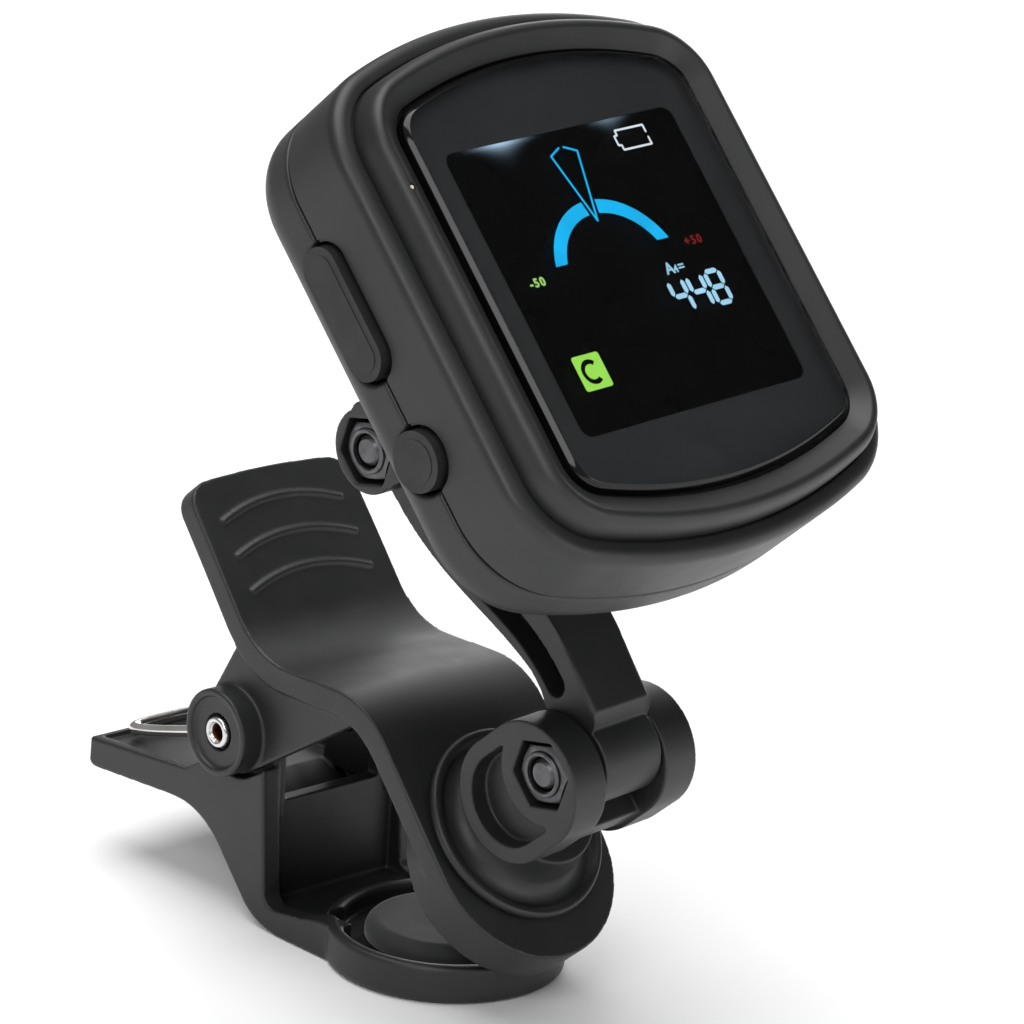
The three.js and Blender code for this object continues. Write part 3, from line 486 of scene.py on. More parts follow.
# The darkest and lightest tone and the range of roughness, then the grain or the scratches
SATIN = moulded("satin_plastic", (0.010, 0.0105, 0.011), (0.014, 0.0145, 0.015), (0.43, 0.48), 0.22, 0.010)
MATTE = moulded("matte_plastic", (0.008, 0.0085, 0.009), (0.011, 0.0115, 0.012), (0.50, 0.62), 0.16, 0.012)
STEM = moulded("stem_plastic", (0.02, 0.02, 0.021), (0.03, 0.03, 0.03), (0.5, 0.6), 0.2, 0.01)
PAD = moulded("pad_rubber_finish", (0.018, 0.019, 0.02), (0.03, 0.031, 0.033), (0.68, 0.85), 0.3, 0.03, 0.25)
BOARD = moulded("board_laminate_finish", (0.006, 0.045, 0.02), (0.009, 0.06, 0.028), (0.3, 0.45), 0.5, 0.01)
SWITCH = moulded("switch_body_finish", (0.12, 0.12, 0.125), (0.16, 0.16, 0.165), (0.45, 0.6), 0.2, 0.01)
PRINT = moulded("cover_print", (0.027, 0.027, 0.0272), (0.031, 0.031, 0.0312), (0.5, 0.6), 0.3, 0.002)
GAUZE = moulded("microphone_gauze_finish", (0.70, 0.60, 0.50), (0.85, 0.76, 0.66), (0.4, 0.6), 0.1, 0.01)
STEEL = metal("bright_steel_finish", (0.62, 0.62, 0.63), (0.75, 0.75, 0.76), (0.16, 0.32), (1, 1, 6))
DARK_STEEL = metal("dark_steel_finish", (0.09, 0.09, 0.095), (0.15, 0.15, 0.155), (0.34, 0.5), (1, 5, 1))
BRASS = metal("pickup_brass_finish", (0.55, 0.38, 0.12), (0.66, 0.47, 0.16), (0.25, 0.4), (4, 1, 1))
FOIL = metal("battery_foil_finish", (0.45, 0.46, 0.47), (0.6, 0.61, 0.62), (0.35, 0.5), (1, 1, 1))
BORE = metal("rivet_bore_finish", (0.10, 0.035, 0.012), (0.22, 0.09, 0.035), (0.4, 0.6), (1, 1, 1))
SPRING = even(
    "spring_steel_finish", 6.0, (0.70, 0.68, 0.65), (0.84, 0.82, 0.79), 3.0, (0.16, 0.22), Metallic=1.0
)
EDGE = even("polished_edge", 8.0, (0.003,) * 3, (0.005,) * 3, 6.0, (0.10, 0.13), Specular_IOR_Level=0.32)
CLEAR = {"Transmission_Weight": 1.0, "IOR": 1.49, "Specular_IOR_Level": 0.3}
LENS = even("clear_cover", 20.0, (0.86, 0.88, 0.90), (0.90, 0.92, 0.94), 6.0, (0.015, 0.03), **CLEAR)
PANEL_FACE = (5.0, (0.0006, 0.0006, 0.0008), (0.0012, 0.0012, 0.0014), 4.0, (0.25, 0.35))
PANEL = even("display_black", *PANEL_FACE, Specular_IOR_Level=0.1)
FILM = even("display_film_black", *PANEL_FACE, (0.55, 0.78, 1.0), Specular_IOR_Level=0.1)


# ---- Upper jaw ----
def leaning_point(y, z):
    """A point of the leaning frame's middle plane, as (y, z) of the clip's frame."""
    p = LEAN @ Vector((0, y, z))
    return (p.y, p.z)


def plate_band(depth):
    """The plate's edge: thumb tab, valley, flat hump and sloping front, seen from the side."""
    tip, foot = ((y + 0.769 * depth, z - 0.639 * depth) for y, z in ((30.9, 36.8), (21.0, 24.9)))
    end, under = END_Y - END_R - 1, PLATE_TOP - depth
    return (
        Outline((30.9, 36.8), (21.0, 24.9))
        .curve((18.2, 21.5), (13.5, 21.5))
        .to((6.4, 21.7))
        .curve((1.6, 21.7), leaning_point(11.0, PLATE_TOP))
        .to(leaning_point(end, PLATE_TOP), leaning_point(end, under), leaning_point(10.2, under))
        .curve((2.9, 21.7 - depth), (6.6, 21.7 - depth))
        .to((13.9, 21.5 - depth))
        .curve((19.3, 21.5 - depth), foot)
        .to(tip)
    )


def front_plan(inset):
    """The plate seen square to its sloping front: straight sides and a round end."""
    half, r = PLATE_HALF - inset, END_R - inset
    shape = Outline((half, 70), (-half, 70), (-half, END_Y + 4))
    shape.arc((0, END_Y), r, 180, 360).to((half, END_Y + 4))
    return moved(LEAN, prism(shape, -45, 20))


def tab_plan(inset):
    """The plate seen square to the thumb tab: rounded corners at the tip."""
    half, r, tip = PLATE_HALF - 0.1 - inset, 3.0 - inset, 38.7 - inset
    shape = Outline((-half - 0.1, -60), (half + 0.1, -60), (half + 0.1, 22))
    shape.arc((half - r, tip - r), r, 0, 90).curve((0, tip + 0.6), (r - half, tip))
    shape.arc((r - half, tip - r), r, 90, 180).to((-half - 0.1, 22))
    return moved(TAB, prism(shape, -30, 50))


def cheek_outline():
    y, z = PIVOT
    shape = Outline((2.2, 20.4), (2.9, 19.3), (y - 2.3, z - 4.1))
    return shape.arc(PIVOT, CHEEK_R, -119, 38).to((y - 0.2, z + 9.6), (y - 3.4, z + 7.4))


def thumb_ribs():
    """Three raised arcs for the thumb, bowed towards the tip of the tab."""
    ribs = []
    for y, z in RIB_ROWS:
        knots = [(-RIB_REACH, y, z), (0, y + RIB_BOW, z + RIB_RISE), (RIB_REACH, y, z)]
        ribs.append(tube([bezier(knots, i / RIB_STEPS) for i in range(RIB_STEPS + 1)], RIB_R, 16))
    return ribs


def tube(path, radius, sides):
    """A round bar along a path of points, with flat ends."""
    points = [Vector(p) for p in path]
    side = (points[1] - points[0]).orthogonal().normalized()
    turns = [math.tau * k / sides for k in range(sides)]
    rows = []
    for i, point in enumerate(points):
        ahead = (points[min(i + 1, len(points) - 1)] - points[max(i - 1, 0)]).normalized()
        side = (side - ahead * side.dot(ahead)).normalized()
        across = ahead.cross(side)
        rows.append([point + (side * math.cos(a) + across * math.sin(a)) * radius for a in turns])
    return loft(rows, capped=True)


def upper_jaw():
    plate = prism(plate_band(PLATE_T), -PLATE_HALF, PLATE_HALF, "x", 0.6)
    common(plate, front_plan(0), tab_plan(0))
    hollow = prism(plate_band(PLATE_T + 1), -PLATE_HALF, PLATE_HALF, "x")
    cut(hollow, prism(plate_band(PLATE_SKIN), -PLATE_HALF - 1, PLATE_HALF + 1, "x"))
    common(hollow, front_plan(1.6), tab_plan(1.6))
    cut(plate, hollow)
    cup = moved(LEAN, pin((0, END_Y), CUP_R, CUP_RIM, PLATE_TOP - PLATE_SKIN + 0.2, "z"))
    join(
        plate,
        cup,
        *both_sides(cheek_outline(), CHEEK_IN, CHEEK_OUT),
        *both_sides(disc(PIVOT, BOSS_R), CHEEK_OUT - 0.5, BOSS_RIM, 0.25),
        *thumb_ribs(),
    )
    tools = [
        pin((0, END_Y), CUP_IN, CUP_RIM - 2, CUP_FLOOR, "z"),
        pin((0, 0), SCREW_R + RUN, -10, 5, "z"),
        pin((0, 0), HEAD_SCREW_R + 1.1, -10, PLATE_TOP - 1.6, "z"),
    ]
    moved(LEAN, *tools)
    cut(
        plate,
        pin(PIVOT, RIVET_R + RUN, -20, 20),
        *both_sides(disc(PIVOT, BOSS_R - 0.75), BOSS_FACE, 20),
        *both_sides(disc(PIVOT, RIVET_HEAD_R + RUN), BOSS_FACE - 0.65, 20),
        *tools,
    )
    return mould(plate, 0.15, 8, 110000)


# ---- Lower jaw ----
def lower_outline():
    y, z = PIVOT
    return (
        Outline((44.5, 5.1), (29.1, 6.3), (y + 4.2, 8.3), (y, z), (17.0, 10.4), (16.0, -3.2))
        .curve((15.8, -4.4), (14.4, -4.4))
        .to((10.5, -3.9))
        .curve((8.5, -3.1), (4.5, -3.1))
        .to((4.5, DISC_BOTTOM), (13.0, DISC_BOTTOM))
        .curve((17.6, -6.9), (19.6, -4.4))
        .to((22.9, -0.8))
        .curve((26.2, 3.2), (31.4, 2.8))
        .to((43.4, 2.0))
        .curve((44.5, 2.0), (44.6, 2.8))
    )


def cheek_relief():
    """Room for the cheek: the lower wall stays below its round end and straight lower edge."""
    y, z = PIVOT
    shape = Outline((0, 21.0 - RELIEF), (y - 2.5, z - 4.5))
    return shape.arc(PIVOT, CHEEK_R + RELIEF, -119, -20).to((y + 12, z + 12), (0, z + 12))


def lug_outline():
    shape = Outline((17.1, 4), (17.1, PIVOT[1]))
    return shape.arc(PIVOT, 4.2, 180, 0).to((27.5, 5.6), (27.5, 4))


def coil_well():
    shape = Outline((19.6, -1.6), (19.6, 30), (27.4, 30), (27.4, 4.6))
    return shape.curve((24.0, 3.2), (21.6, 0.6))


def foot_profile():
    """Half section of the round foot: recessed underside, rounded rim and the bowl inside it."""
    r, rim, low, top = DISC_R, DISC_R - 1.5, DISC_BOTTOM, DISC_TOP
    return (
        Outline((0, low + 0.9), (8.4, low + 0.9))
        .curve((8.8, low + 0.9), (9.1, low))
        .to((r - 0.9, low))
        .curve((r, low), (r, low + 0.9))
        .to((r, top - 0.7))
        .curve((r, top), (r - 0.75, top))
        .curve((rim, top), (rim, top - 0.6))
        .to((rim, FLOOR), (0, FLOOR))
    )


def lower_jaw():
    walls = prism(lower_outline(), -CHEEK_OUT, CHEEK_OUT, "x", 0.3)
    cut(
        walls,
        *both_sides(cheek_relief(), LUG_OUT - 0.6, 20),
        block(-WALL_IN, WALL_IN, 0, 17.9, FLOOR, 20),
        prism(coil_well(), -WALL_IN, WALL_IN, "x"),
        block(-LUG_IN, LUG_IN, 19.6, 60, 6.3, 30),
        block(-6.3, 6.3, 10, 30, 5.6, 30),
        block(-9.0, 9.0, 27.4, 43.8, 4.6, 30),
    )
    join(walls, lathe(foot_profile(), 160), *both_sides(lug_outline(), LUG_IN, LUG_OUT))
    bowl = common(pin((0, 0), DISC_R - 1.5, FLOOR, 0, "z"), block(-20, 20, -20, 5, FLOOR - 1, 1))
    cut(walls, bowl, block(-WALL_IN, WALL_IN, 3, 9, FLOOR, 0), pin(PIVOT, RIVET_R + RUN, -20, 20))
    return mould(walls, 0.15, 8, 100000)


# ---- Pads, rivet and spring ----
def lower_pad():
    bottom, top = FLOOR + GAP, -DATUM
    profile = Outline((0, bottom), (PAD_R - 0.3, bottom)).curve((PAD_R, bottom), (PAD_R, bottom + 0.3))
    profile.arc((PAD_R - PAD_ROUND, top - PAD_ROUND), PAD_ROUND, 0, 90)
    return lathe(profile.to((0, top)), 128)


def upper_pad():
    low, top = CUP_RIM - 0.4, CUP_FLOOR - GAP
    profile = Outline((0, low), (PAD_R - 0.5, low)).curve((PAD_R, low), (PAD_R, low + 0.5))
    body = lathe(profile.to((PAD_R, top), (0, top)), 128)
    moved(Matrix.Translation((0, END_Y, 0)), body)
    cut(body, pin((0, 0), HEAD_SCREW_R + GAP, top - 1.0, top + 1, "z"))
    return body


def pivot_rivet():
    """A hollow rivet with a rolled head at each end."""
    bore, r = RIVET_BORE, RIVET_HEAD_R
    head, shank, mouth = BOSS_FACE + 0.35, BOSS_FACE - 0.35, bore + 0.27
    half = (
        Outline((bore, 0), (bore, head - 0.9))
        .curve((bore, head - 0.4), (mouth, head - 0.2))
        .curve((mouth + 0.05, head), (mouth + 0.25, head))
        .curve((r, head), (r, shank + 0.15))
        .to((r - 0.1, shank), (RIVET_R, shank), (RIVET_R, 0))
    )
    mirrored = [(r, -z) for r, z in reversed(half.points)]
    return moved(lying(PIVOT), lathe(Outline(*half.points, *mirrored), 64))


def spring_knots():
    """Points of the double torsion spring: a leg, a coil and the half loop, on both sides."""
    steps = COIL_TURNS * COIL_STEPS
    sweep = COIL_TURNS * 360 + COIL_EXTRA
    half = [LEG_TIP, LEG_FOOT]
    for i in range(steps, -1, -1):
        a = math.radians(COIL_START + sweep * i / steps)
        x = COIL_X - COIL_TURNS * COIL_PITCH * i / steps
        half.append((x, *polar(PIVOT, COIL_R, a)))
    half += [(COIL_X, 30, 9.0), (LOOP_X, LOOP_Y - 3, LOOP_Z + 0.5), (LOOP_X - 0.3, LOOP_Y - 0.4, LOOP_Z)]
    left = [(-px, py, pz) for px, py, pz in half]
    return [Vector(p) for p in (*left, (0, LOOP_Y, LOOP_Z), *reversed(half))]


def between(start, end, low, high, at):
    """The point that a straight run reaches at this time, from start at time low to end at time high."""
    return start + (end - start) * ((at - low) / (high - low))


def flowing(knots, steps):
    """A centripetal Catmull-Rom curve through the knots, with so many steps in each span."""
    ends = [knots[0] * 2 - knots[1], *knots, knots[-1] * 2 - knots[-2]]
    points = []
    for a, b, c, d in zip(ends, ends[1:], ends[2:], ends[3:]):
        t1 = (b - a).length ** 0.5
        t2 = t1 + (c - b).length ** 0.5
        t3 = t2 + (d - c).length ** 0.5
        for i in range(steps):
            at = t1 + (t2 - t1) * i / steps
            middle = between(b, c, t1, t2, at)
            early = between(between(a, b, 0, t1, at), middle, 0, t2, at)
            late = between(middle, between(c, d, t2, t3, at), t1, t3, at)
            points.append(between(early, late, t1, t2, at))
    return [*points, knots[-1]]


def torsion_spring():
    return tube(flowing(spring_knots(), 4), WIRE_R, 16)


# ---- Turret ----
def ear_outline(inset):
    half, reach, middle = 6.3 - inset, 8.2 - inset, 11.1
    y = LOW[0] - 0.1
    shape = Outline().arc((y, middle + reach - half), half, 0, 180)
    return shape.arc((y, middle - reach + half), half, 180, 360)


def crescents():
    """The grooves in the outer faces of the ears, round their inner cores."""
    grooves = both_sides(ear_outline(1.7), EAR_OUT - 2.0, EAR_OUT + 1)
    cores = both_sides(disc(LOW, 5.2), EAR_OUT - 3, EAR_OUT + 2)
    return [cut(groove, core) for groove, core in zip(grooves, cores)]


def hinge_seats(axis):
    """Seats for the hinge hardware: a hex pocket on the left, a round one on the right."""
    return [
        pin(axis, SCREW_R + RUN, -20, 20),
        prism(hexagon(axis, POCKET_FLAT), -EAR_OUT - 1, -EAR_OUT + POCKET_DEPTH, "x"),
        pin(axis, HEAD_SCREW_R + GAP, SCREW_SEAT, EAR_OUT + 1),
    ]


def turret():
    r, low = RING_R, PLATE_TOP + GAP
    base = lathe(
        Outline((0, low), (r - 0.3, low))
        .curve((r + 0.05, -0.3), (r, 0.1))
        .curve((r - 0.1, 0.6), (r - 0.55, 0.58))
        .curve((r - 1.0, 0.5), (r - 1.35, 0.1))
        .curve((7.5, 0.1), (6.8, 1.0))
        .curve((6.2, 2.0), (6.1, 4.5))
        .to((0, 4.5)),
        160,
    )
    hub = prism(ear_outline(0.5), -EAR_IN - 0.1, EAR_IN + 0.1, "x")
    above = block(-EAR_IN, EAR_IN, -12, 12, LOW[1] - 3.2, 40)
    cut(hub, pin(LOW, 4.4 + RELIEF, -EAR_IN, EAR_IN), above)
    join(base, hub, *both_sides(ear_outline(0), EAR_IN, EAR_OUT, 0.55))
    cut(base, *crescents(), *hinge_seats(LOW), pin((0, 0), SCREW_R + RUN, -5, 6.5, "z"))
    return mould(base, 0.13, 7, 90000)


# ---- Arm ----
def arm_outline():
    (y, z), (far_y, far_z) = LOW, UP
    return (
        Outline((y + 1.5, z + 4.1), (3.7, 20.9), (11.5, 21.3))
        .curve((20.5, 21.0), (23.0, 15.6), (32.0, 15.5))
        .arc((far_y, far_z), 4.2, 150, -95)
        .to((32.6, 9.2))
        .curve((23.5, 9.5), (18.0, 13.8), (10.8, 15.5))
        .curve((7.5, 16.0), (y + 4.2, z - 1.2))
        .arc((y, z), 4.4, -17, -290)
    )


def arm_slot():
    return (
        Outline((8.2, 18.9))
        .curve((17.0, 19.2), (20.5, 14.2), (28.4, 14.1))
        .arc((28.4, 12.85), 1.25, 90, -90)
        .curve((20.0, 11.8), (16.5, 16.7), (8.2, 16.4))
        .arc((8.2, 17.65), 1.25, -90, -270)
    )


def arm():
    bar = prism(arm_outline(), -ARM_HALF, ARM_HALF, "x", 0.5)
    cut(
        bar,
        *both_sides(arm_slot(), 1.1, 10),
        pin(LOW, SCREW_R + RUN, -20, 20),
        pin(UP, SCREW_R + RUN, -20, 20),
    )
    return mould(bar, 0.13, 7, 50000)


# ---- Hinge hardware ----
def cross(x, y, reach, half, low, high):
    """The cross recess of a screw's head."""
    bars = [block(x - a, x + a, y - b, y + b, low, high) for a, b in ((reach, half), (half, reach))]
    return join(*bars)


def hinge_screw(axis):
    """A pan-head machine screw with a cross recess, lying along x."""
    seat, tip, r = SCREW_SEAT + GAP, -EAR_OUT + 0.25, HEAD_SCREW_R
    profile = Outline((0, tip), (SCREW_R - 0.35, tip), (SCREW_R, tip + 0.35), (SCREW_R, seat))
    profile.to((r, seat), (r, seat + 0.7)).curve((r, seat + 1.5), (r - 1.1, seat + 1.5)).to((0, seat + 1.5))
    shape = cut(lathe(profile, 72), cross(0, 0, 1.35, 0.26, seat + 0.75, seat + 3))
    return moved(lying(axis), shape)


def hinge_nut(axis):
    """A locking nut: a chamfered hexagon and the round collar that holds its nylon ring."""
    outer, inner = -EAR_OUT + 0.1, -EAR_OUT + POCKET_DEPTH - GAP
    front = outer + 0.35
    body = prism(hexagon(axis, NUT_FLAT), front, inner, "x")
    corner, flat = NUT_FLAT / math.cos(math.pi / 6) + 0.1, NUT_FLAT - 0.05
    cone = Outline((0, front - 1), (flat, front - 1), (flat, front), (corner, front + 0.35))
    common(body, moved(lying(axis), lathe(cone.to((corner, inner + 1), (0, inner + 1)))))
    collar = Outline((SCREW_R + 0.3, outer + 0.12)).curve((SCREW_R + 0.3, outer), (SCREW_R + 0.5, outer))
    collar.curve((COLLAR_R, outer), (COLLAR_R, outer + 0.3)).to((COLLAR_R, inner), (SCREW_R + RUN, inner))
    join(body, moved(lying(axis), lathe(collar, 72)))
    return cut(body, pin(axis, SCREW_R + RUN, -20, 20))


# ---- Head ----
def housing_loop(inset, z):
    """The housing's outline at one level: straight sides, arcs at the corners, long arcs at the ends."""
    corner_r = SIDE - CORNER_X - inset
    end_y = CORNER_Y - math.sqrt((END_ARC_R - SIDE + CORNER_X) ** 2 - CORNER_X**2)
    lean = math.atan2(CORNER_Y - end_y, CORNER_X)
    arcs = [
        (CORNER_X, CORNER_Y, corner_r, 0, lean, 20),
        (0, end_y, END_ARC_R - inset, lean, math.pi / 2, 14),
    ]
    first = [(SIDE - inset, CORNER_Y * i / 6) for i in range(6)]
    for cx, cy, r, start, end, steps in arcs:
        for i in range(steps):
            first.append(polar((cx, cy), r, start + (end - start) * i / steps))
    top = (0, end_y + END_ARC_R - inset)
    half = [*first, top, *((-x, y) for x, y in reversed(first[1:]))]
    return [(x, y, z) for x, y in (*half, *((-x, -y) for x, y in half))]


def housing_ring(profile):
    return loft([housing_loop(inset, z) for inset, z in open_ring(profile.points)], capped=False)


def housing_slab(inset, low, high, chamfer=0.0):
    """A plate of the housing's outline, with a chamfered upper rim."""
    levels = [(inset, low), (inset, high - chamfer)]
    if chamfer:
        levels += [(inset + 0.05, high - chamfer + 0.08), (inset + chamfer - 0.08, high - 0.05)]
        levels.append((inset + chamfer, high))
    return loft([housing_loop(*level) for level in levels], capped=True)


def button_holes():
    """The buttons' openings in the left side, a little wider at their mouths."""
    holes = []
    for y, length, width in BUTTONS.values():
        for play, low, high in ((0.7, -30, -20), (1.15, -SIDE - 3, -SIDE + 0.25)):
            holes.append(prism(pill(y, BUTTON_Z, length + play, width + play), low, high, "x"))
    return holes


def socket_mouth():
    return prism(pill(SOCKET_Y, BUTTON_Z, SOCKET_LEN + 0.7, SOCKET_W + 1.1), 20, 30, "x")


def front_shell():
    """The bezel: a wide ledge, a groove, a rounded lip and a slope down to the cover's seat."""
    profile = (
        Outline((0.06, FRONT_EDGE), (0, FRONT_EDGE + 0.06), (0, -2.9))
        .curve((0.0, -1.6), (1.2, -1.5))
        .to((1.7, -1.5))
        .curve((1.95, -1.5), (1.95, -1.7))
        .curve((1.95, -1.9), (2.1, -1.7))
        .curve((2.05, -0.2), (2.4, 1.3), (3.2, 1.4))
        .curve((3.5, 1.45), (3.72, 1.32))
        .to((5.4, 0.36), (5.5, -0.6), (7.2, -0.6), (7.2, -2.0), (3.6, -2.0), (WALL, -3.8), (WALL, FRONT_EDGE))
    )
    shell = housing_ring(profile)
    join(shell, seam_tongue(), *(pin(p, POST_R, FRONT_EDGE, -2.2, "z") for p in POSTS))
    bores = [pin(p, 1.05, SEAM_Z - 1, -4.4, "z") for p in POSTS]
    return cut(shell, *bores, *button_holes(), socket_mouth(), pin(PINHOLE, PINHOLE_R, -6, 3, "z"))


def seam_tongue():
    """A lip inside the front shell that covers the seam from behind."""
    root, inner, outer = WALL - 0.5, WALL + 0.05, WALL + 0.6
    top, step, tip = FRONT_EDGE + 1.0, FRONT_EDGE + 0.3, FRONT_EDGE - 1.2
    section = [(root, top), (root, step), (inner, step), (inner, tip), (outer, tip), (outer, top)]
    return housing_ring(Outline(*section))


def rear_profile():
    """The rear shell's wall and back, with a quarter round between them."""
    r, floor = 3.5, BACK_Z + WALL
    profile = Outline((0.15, BACK_EDGE), (WALL, BACK_EDGE), (WALL, floor), (9, floor), (9, BACK_Z))
    for i in range(13):
        a = math.radians(7.5 * i)
        profile.to((r - r * math.sin(a), BACK_Z + r - r * math.cos(a)))
    return profile.to((0, BACK_EDGE - 0.12))


def pod():
    """The raised block behind the housing, its back edges rounded."""
    body = prism(rounded_box(POD_HALF, POD_HALF, 4.0), POD_Z, BACK_Z + 4, "z", 1.4)
    cut(body, block(-30, 30, -30, 30, BACK_Z + 0.8, 20))
    return cut(body, block(-POD_IN, POD_IN, -POD_IN, POD_IN, POD_Z + WALL, 20))


def head_lugs():
    """Each lug flares from the pod and ends in a round eye at the upper hinge."""
    shape = Outline((8.6, POD_Z + 1)).curve((5.0, POD_Z - 2.5), (EYE[0] + 4.2, EYE[1] + 0.8))
    shape.arc(EYE, 4.3, 11, -191).curve((-6.2, POD_Z - 2.5), (-9.6, POD_Z + 1))
    return moved(OVER_ARM, *both_sides(shape, EAR_IN, EAR_OUT, 0.5))


def rear_shell():
    shell = housing_ring(rear_profile())
    back = housing_slab(8.9, BACK_Z, BACK_Z + WALL)
    cut(back, block(-POD_IN, POD_IN, -POD_IN, POD_IN, BACK_Z - 1, BACK_Z + 3))
    pillars = [pin(p, POST_R + 0.4, BACK_Z + 0.5, BACK_EDGE, "z") for p in POSTS]
    join(shell, back, pod(), *head_lugs(), *pillars)
    seats = moved(OVER_ARM, *hinge_seats(EYE))
    holes = [pin(p, 1.25, BACK_Z - 1, SEAM_Z + 1, "z") for p in POSTS]
    holes += [pin(p, CASE_SCREW_R + 0.4, BACK_Z - 1, BACK_Z + CASE_SCREW_SUNK, "z") for p in POSTS]
    cut(shell, *seats, *button_holes(), socket_mouth(), *holes)
    return mould(shell, 0.17, 6, 120000)


def button(y, length, width):
    """A cap with a rounded crown, a flange that keeps it in the shell, and a stem."""
    face, back = BUTTON_FACE, BUTTON_BACK
    cap = prism(pill(y, BUTTON_Z, length, width), face, back, "x", 0.42)
    crown = prism(pill(y, BUTTON_Z, length - 1.6, width - 1.6), face - 0.06, face + 0.4, "x", 0.1)
    flange = prism(pill(y, BUTTON_Z, length + 1.8, width + 1.8), back - 0.1, back + 0.5, "x")
    return join(cap, crown, flange, pin((y, BUTTON_Z), 1.0, back + 0.4, back + 1.0))


def case_screw(x, y):
    """A pan-head screw with a cross recess, its head towards the back."""
    seat, r = BACK_Z + CASE_SCREW_SUNK - GAP, CASE_SCREW_R
    profile = Outline((0, seat - 1.2), (1.3, seat - 1.2)).curve((r, seat - 1.15), (r, seat - 0.7))
    profile.to((r, seat), (0.8, seat), (0.8, -5.4), (0.0, -4.8))
    shape = moved(Matrix.Translation((x, y, 0)), lathe(profile, 48))
    return cut(shape, cross(x, y, 1.1, 0.2, seat - 2, seat - 0.7))


def charging_socket():
    """A thin steel mouth with its contact tongue."""
    z = BUTTON_Z - 0.15
    shell = prism(pill(SOCKET_Y, z, SOCKET_LEN, SOCKET_W), 18.4, 23.9, "x", 0.1)
    cut(shell, prism(pill(SOCKET_Y, z, SOCKET_LEN - 0.6, SOCKET_W - 0.6), 19.2, 25, "x"))
    return join(shell, block(18.8, 23.0, SOCKET_Y - 2.6, SOCKET_Y + 2.6, z - 0.1, z + 0.5))


def gauze_dome():
    """The domed gauze that fills the microphone's pinhole."""
    profile = Outline((0, -0.4), (0.32, -0.4)).curve((0.32, 0.1), (0, 0.14))
    return moved(Matrix.Translation((*PINHOLE, GAUZE_Z)), lathe(profile, 32))


# ---- Display pieces ----
def graphic(*outlines):
    """Thin lit shapes on the display panel."""
    shapes = [prism(outline, GRAPHIC_LOW, GRAPHIC_HIGH) for outline in outlines]
    return join(shapes[0], *shapes[1:]) if len(shapes) > 1 else shapes[0]


def stroke(a, b, width):
    """A straight bar from a to b, with its ends pointed a little."""
    a, b = Vector(a), Vector(b)
    along = (b - a).normalized()
    side = Vector((-along.y, along.x)) * width / 2
    tip = along * width / 2
    return Outline(*(tuple(p) for p in (a - side, b - side, b + tip, b + side, a + side, a - tip)))


def strokes(path):
    return [stroke(a, b, LINE) for a, b in zip(path, path[1:])]


def gauge_arc():
    """The scale's arc in two parts, with the needle between them."""
    parts = []
    for outer, inner in (((162.5, 96.2), (158.5, 95.3)), ((83.1, 18.9), (83.8, 23.2))):
        part = Outline().arc(ARC_CENTRE, ARC_OUTER, *outer)
        parts.append(part.arc(ARC_CENTRE, ARC_INNER, *reversed(inner)))
    return graphic(*parts)


def digit(value, x, y):
    """A seven-bar digit whose lower left corner is (x, y)."""
    w, h = DIGIT_W, DIGIT_H
    gap = BAR * 0.7
    left, right, low, middle, top = x, x + w, y, y + h / 2, y + h
    bars = [
        ((left + gap, top), (right - gap, top)),
        ((left, middle + gap), (left, top - gap)),
        ((right, middle + gap), (right, top - gap)),
        ((left + gap, middle), (right - gap, middle)),
        ((left, low + gap), (left, middle - gap)),
        ((right, low + gap), (right, middle - gap)),
        ((left + gap, low), (right - gap, low)),
    ]
    return [stroke(*bars[i], BAR) for i in DIGIT_BARS[value]]


def text(words, x, y, height, weight):
    """Plain lettering whose lower left corner is (x, y), as a thin solid."""
    font = bpy.data.curves.new("text", "FONT")
    font.body = words
    font.size = height * LETTER_SIZE
    font.offset = weight
    font.space_character = LETTER_SPACE
    font.extrude = (GRAPHIC_HIGH - GRAPHIC_LOW) / 2
    flat = linked("text", font)
    made = evaluated(flat)
    bpy.data.objects.remove(flat)
    made.transform(Matrix.Translation((x, y, (GRAPHIC_LOW + GRAPHIC_HIGH) / 2)))
    return linked("text", made)


def needle():
    """The open outline of the needle, from its tip up both sides."""
    tip = (-0.35, 5.2)
    left, right = [tip, (-2.0, 12.3), (-0.6, 12.95)], [tip, (1.45, 12.3), (0.0, 12.95)]
    return graphic(*strokes(left), *strokes(right))


def battery_icon():
    path = [(10.9, 12.65), (10.9, 13.4), (7.15, 13.4), (7.15, 12.9), (6.75, 12.85), (6.75, 11.9)]
    path += [(7.15, 11.85), (7.15, 11.35), (10.9, 11.35), (10.9, 12.1)]
    return graphic(*strokes(path))


def pitch_digits():
    x, y = DIGITS_AT
    return graphic(*(bar for i, value in enumerate("448") for bar in digit(value, x + DIGIT_PITCH * i, y)))


def note_block():
    """A lit block with the note's letter dark inside it."""
    shape = moved(Matrix.Translation((*NOTE, 0)), graphic(rounded_box(*NOTE_HALF, 0.3)))
    letter = Outline().arc(NOTE, LETTER_OUTER, 48, 312).arc(NOTE, LETTER_INNER, 312, 48)
    return cut(shape, prism(letter, PANEL_TOP - 1, PANEL_TOP + 1))


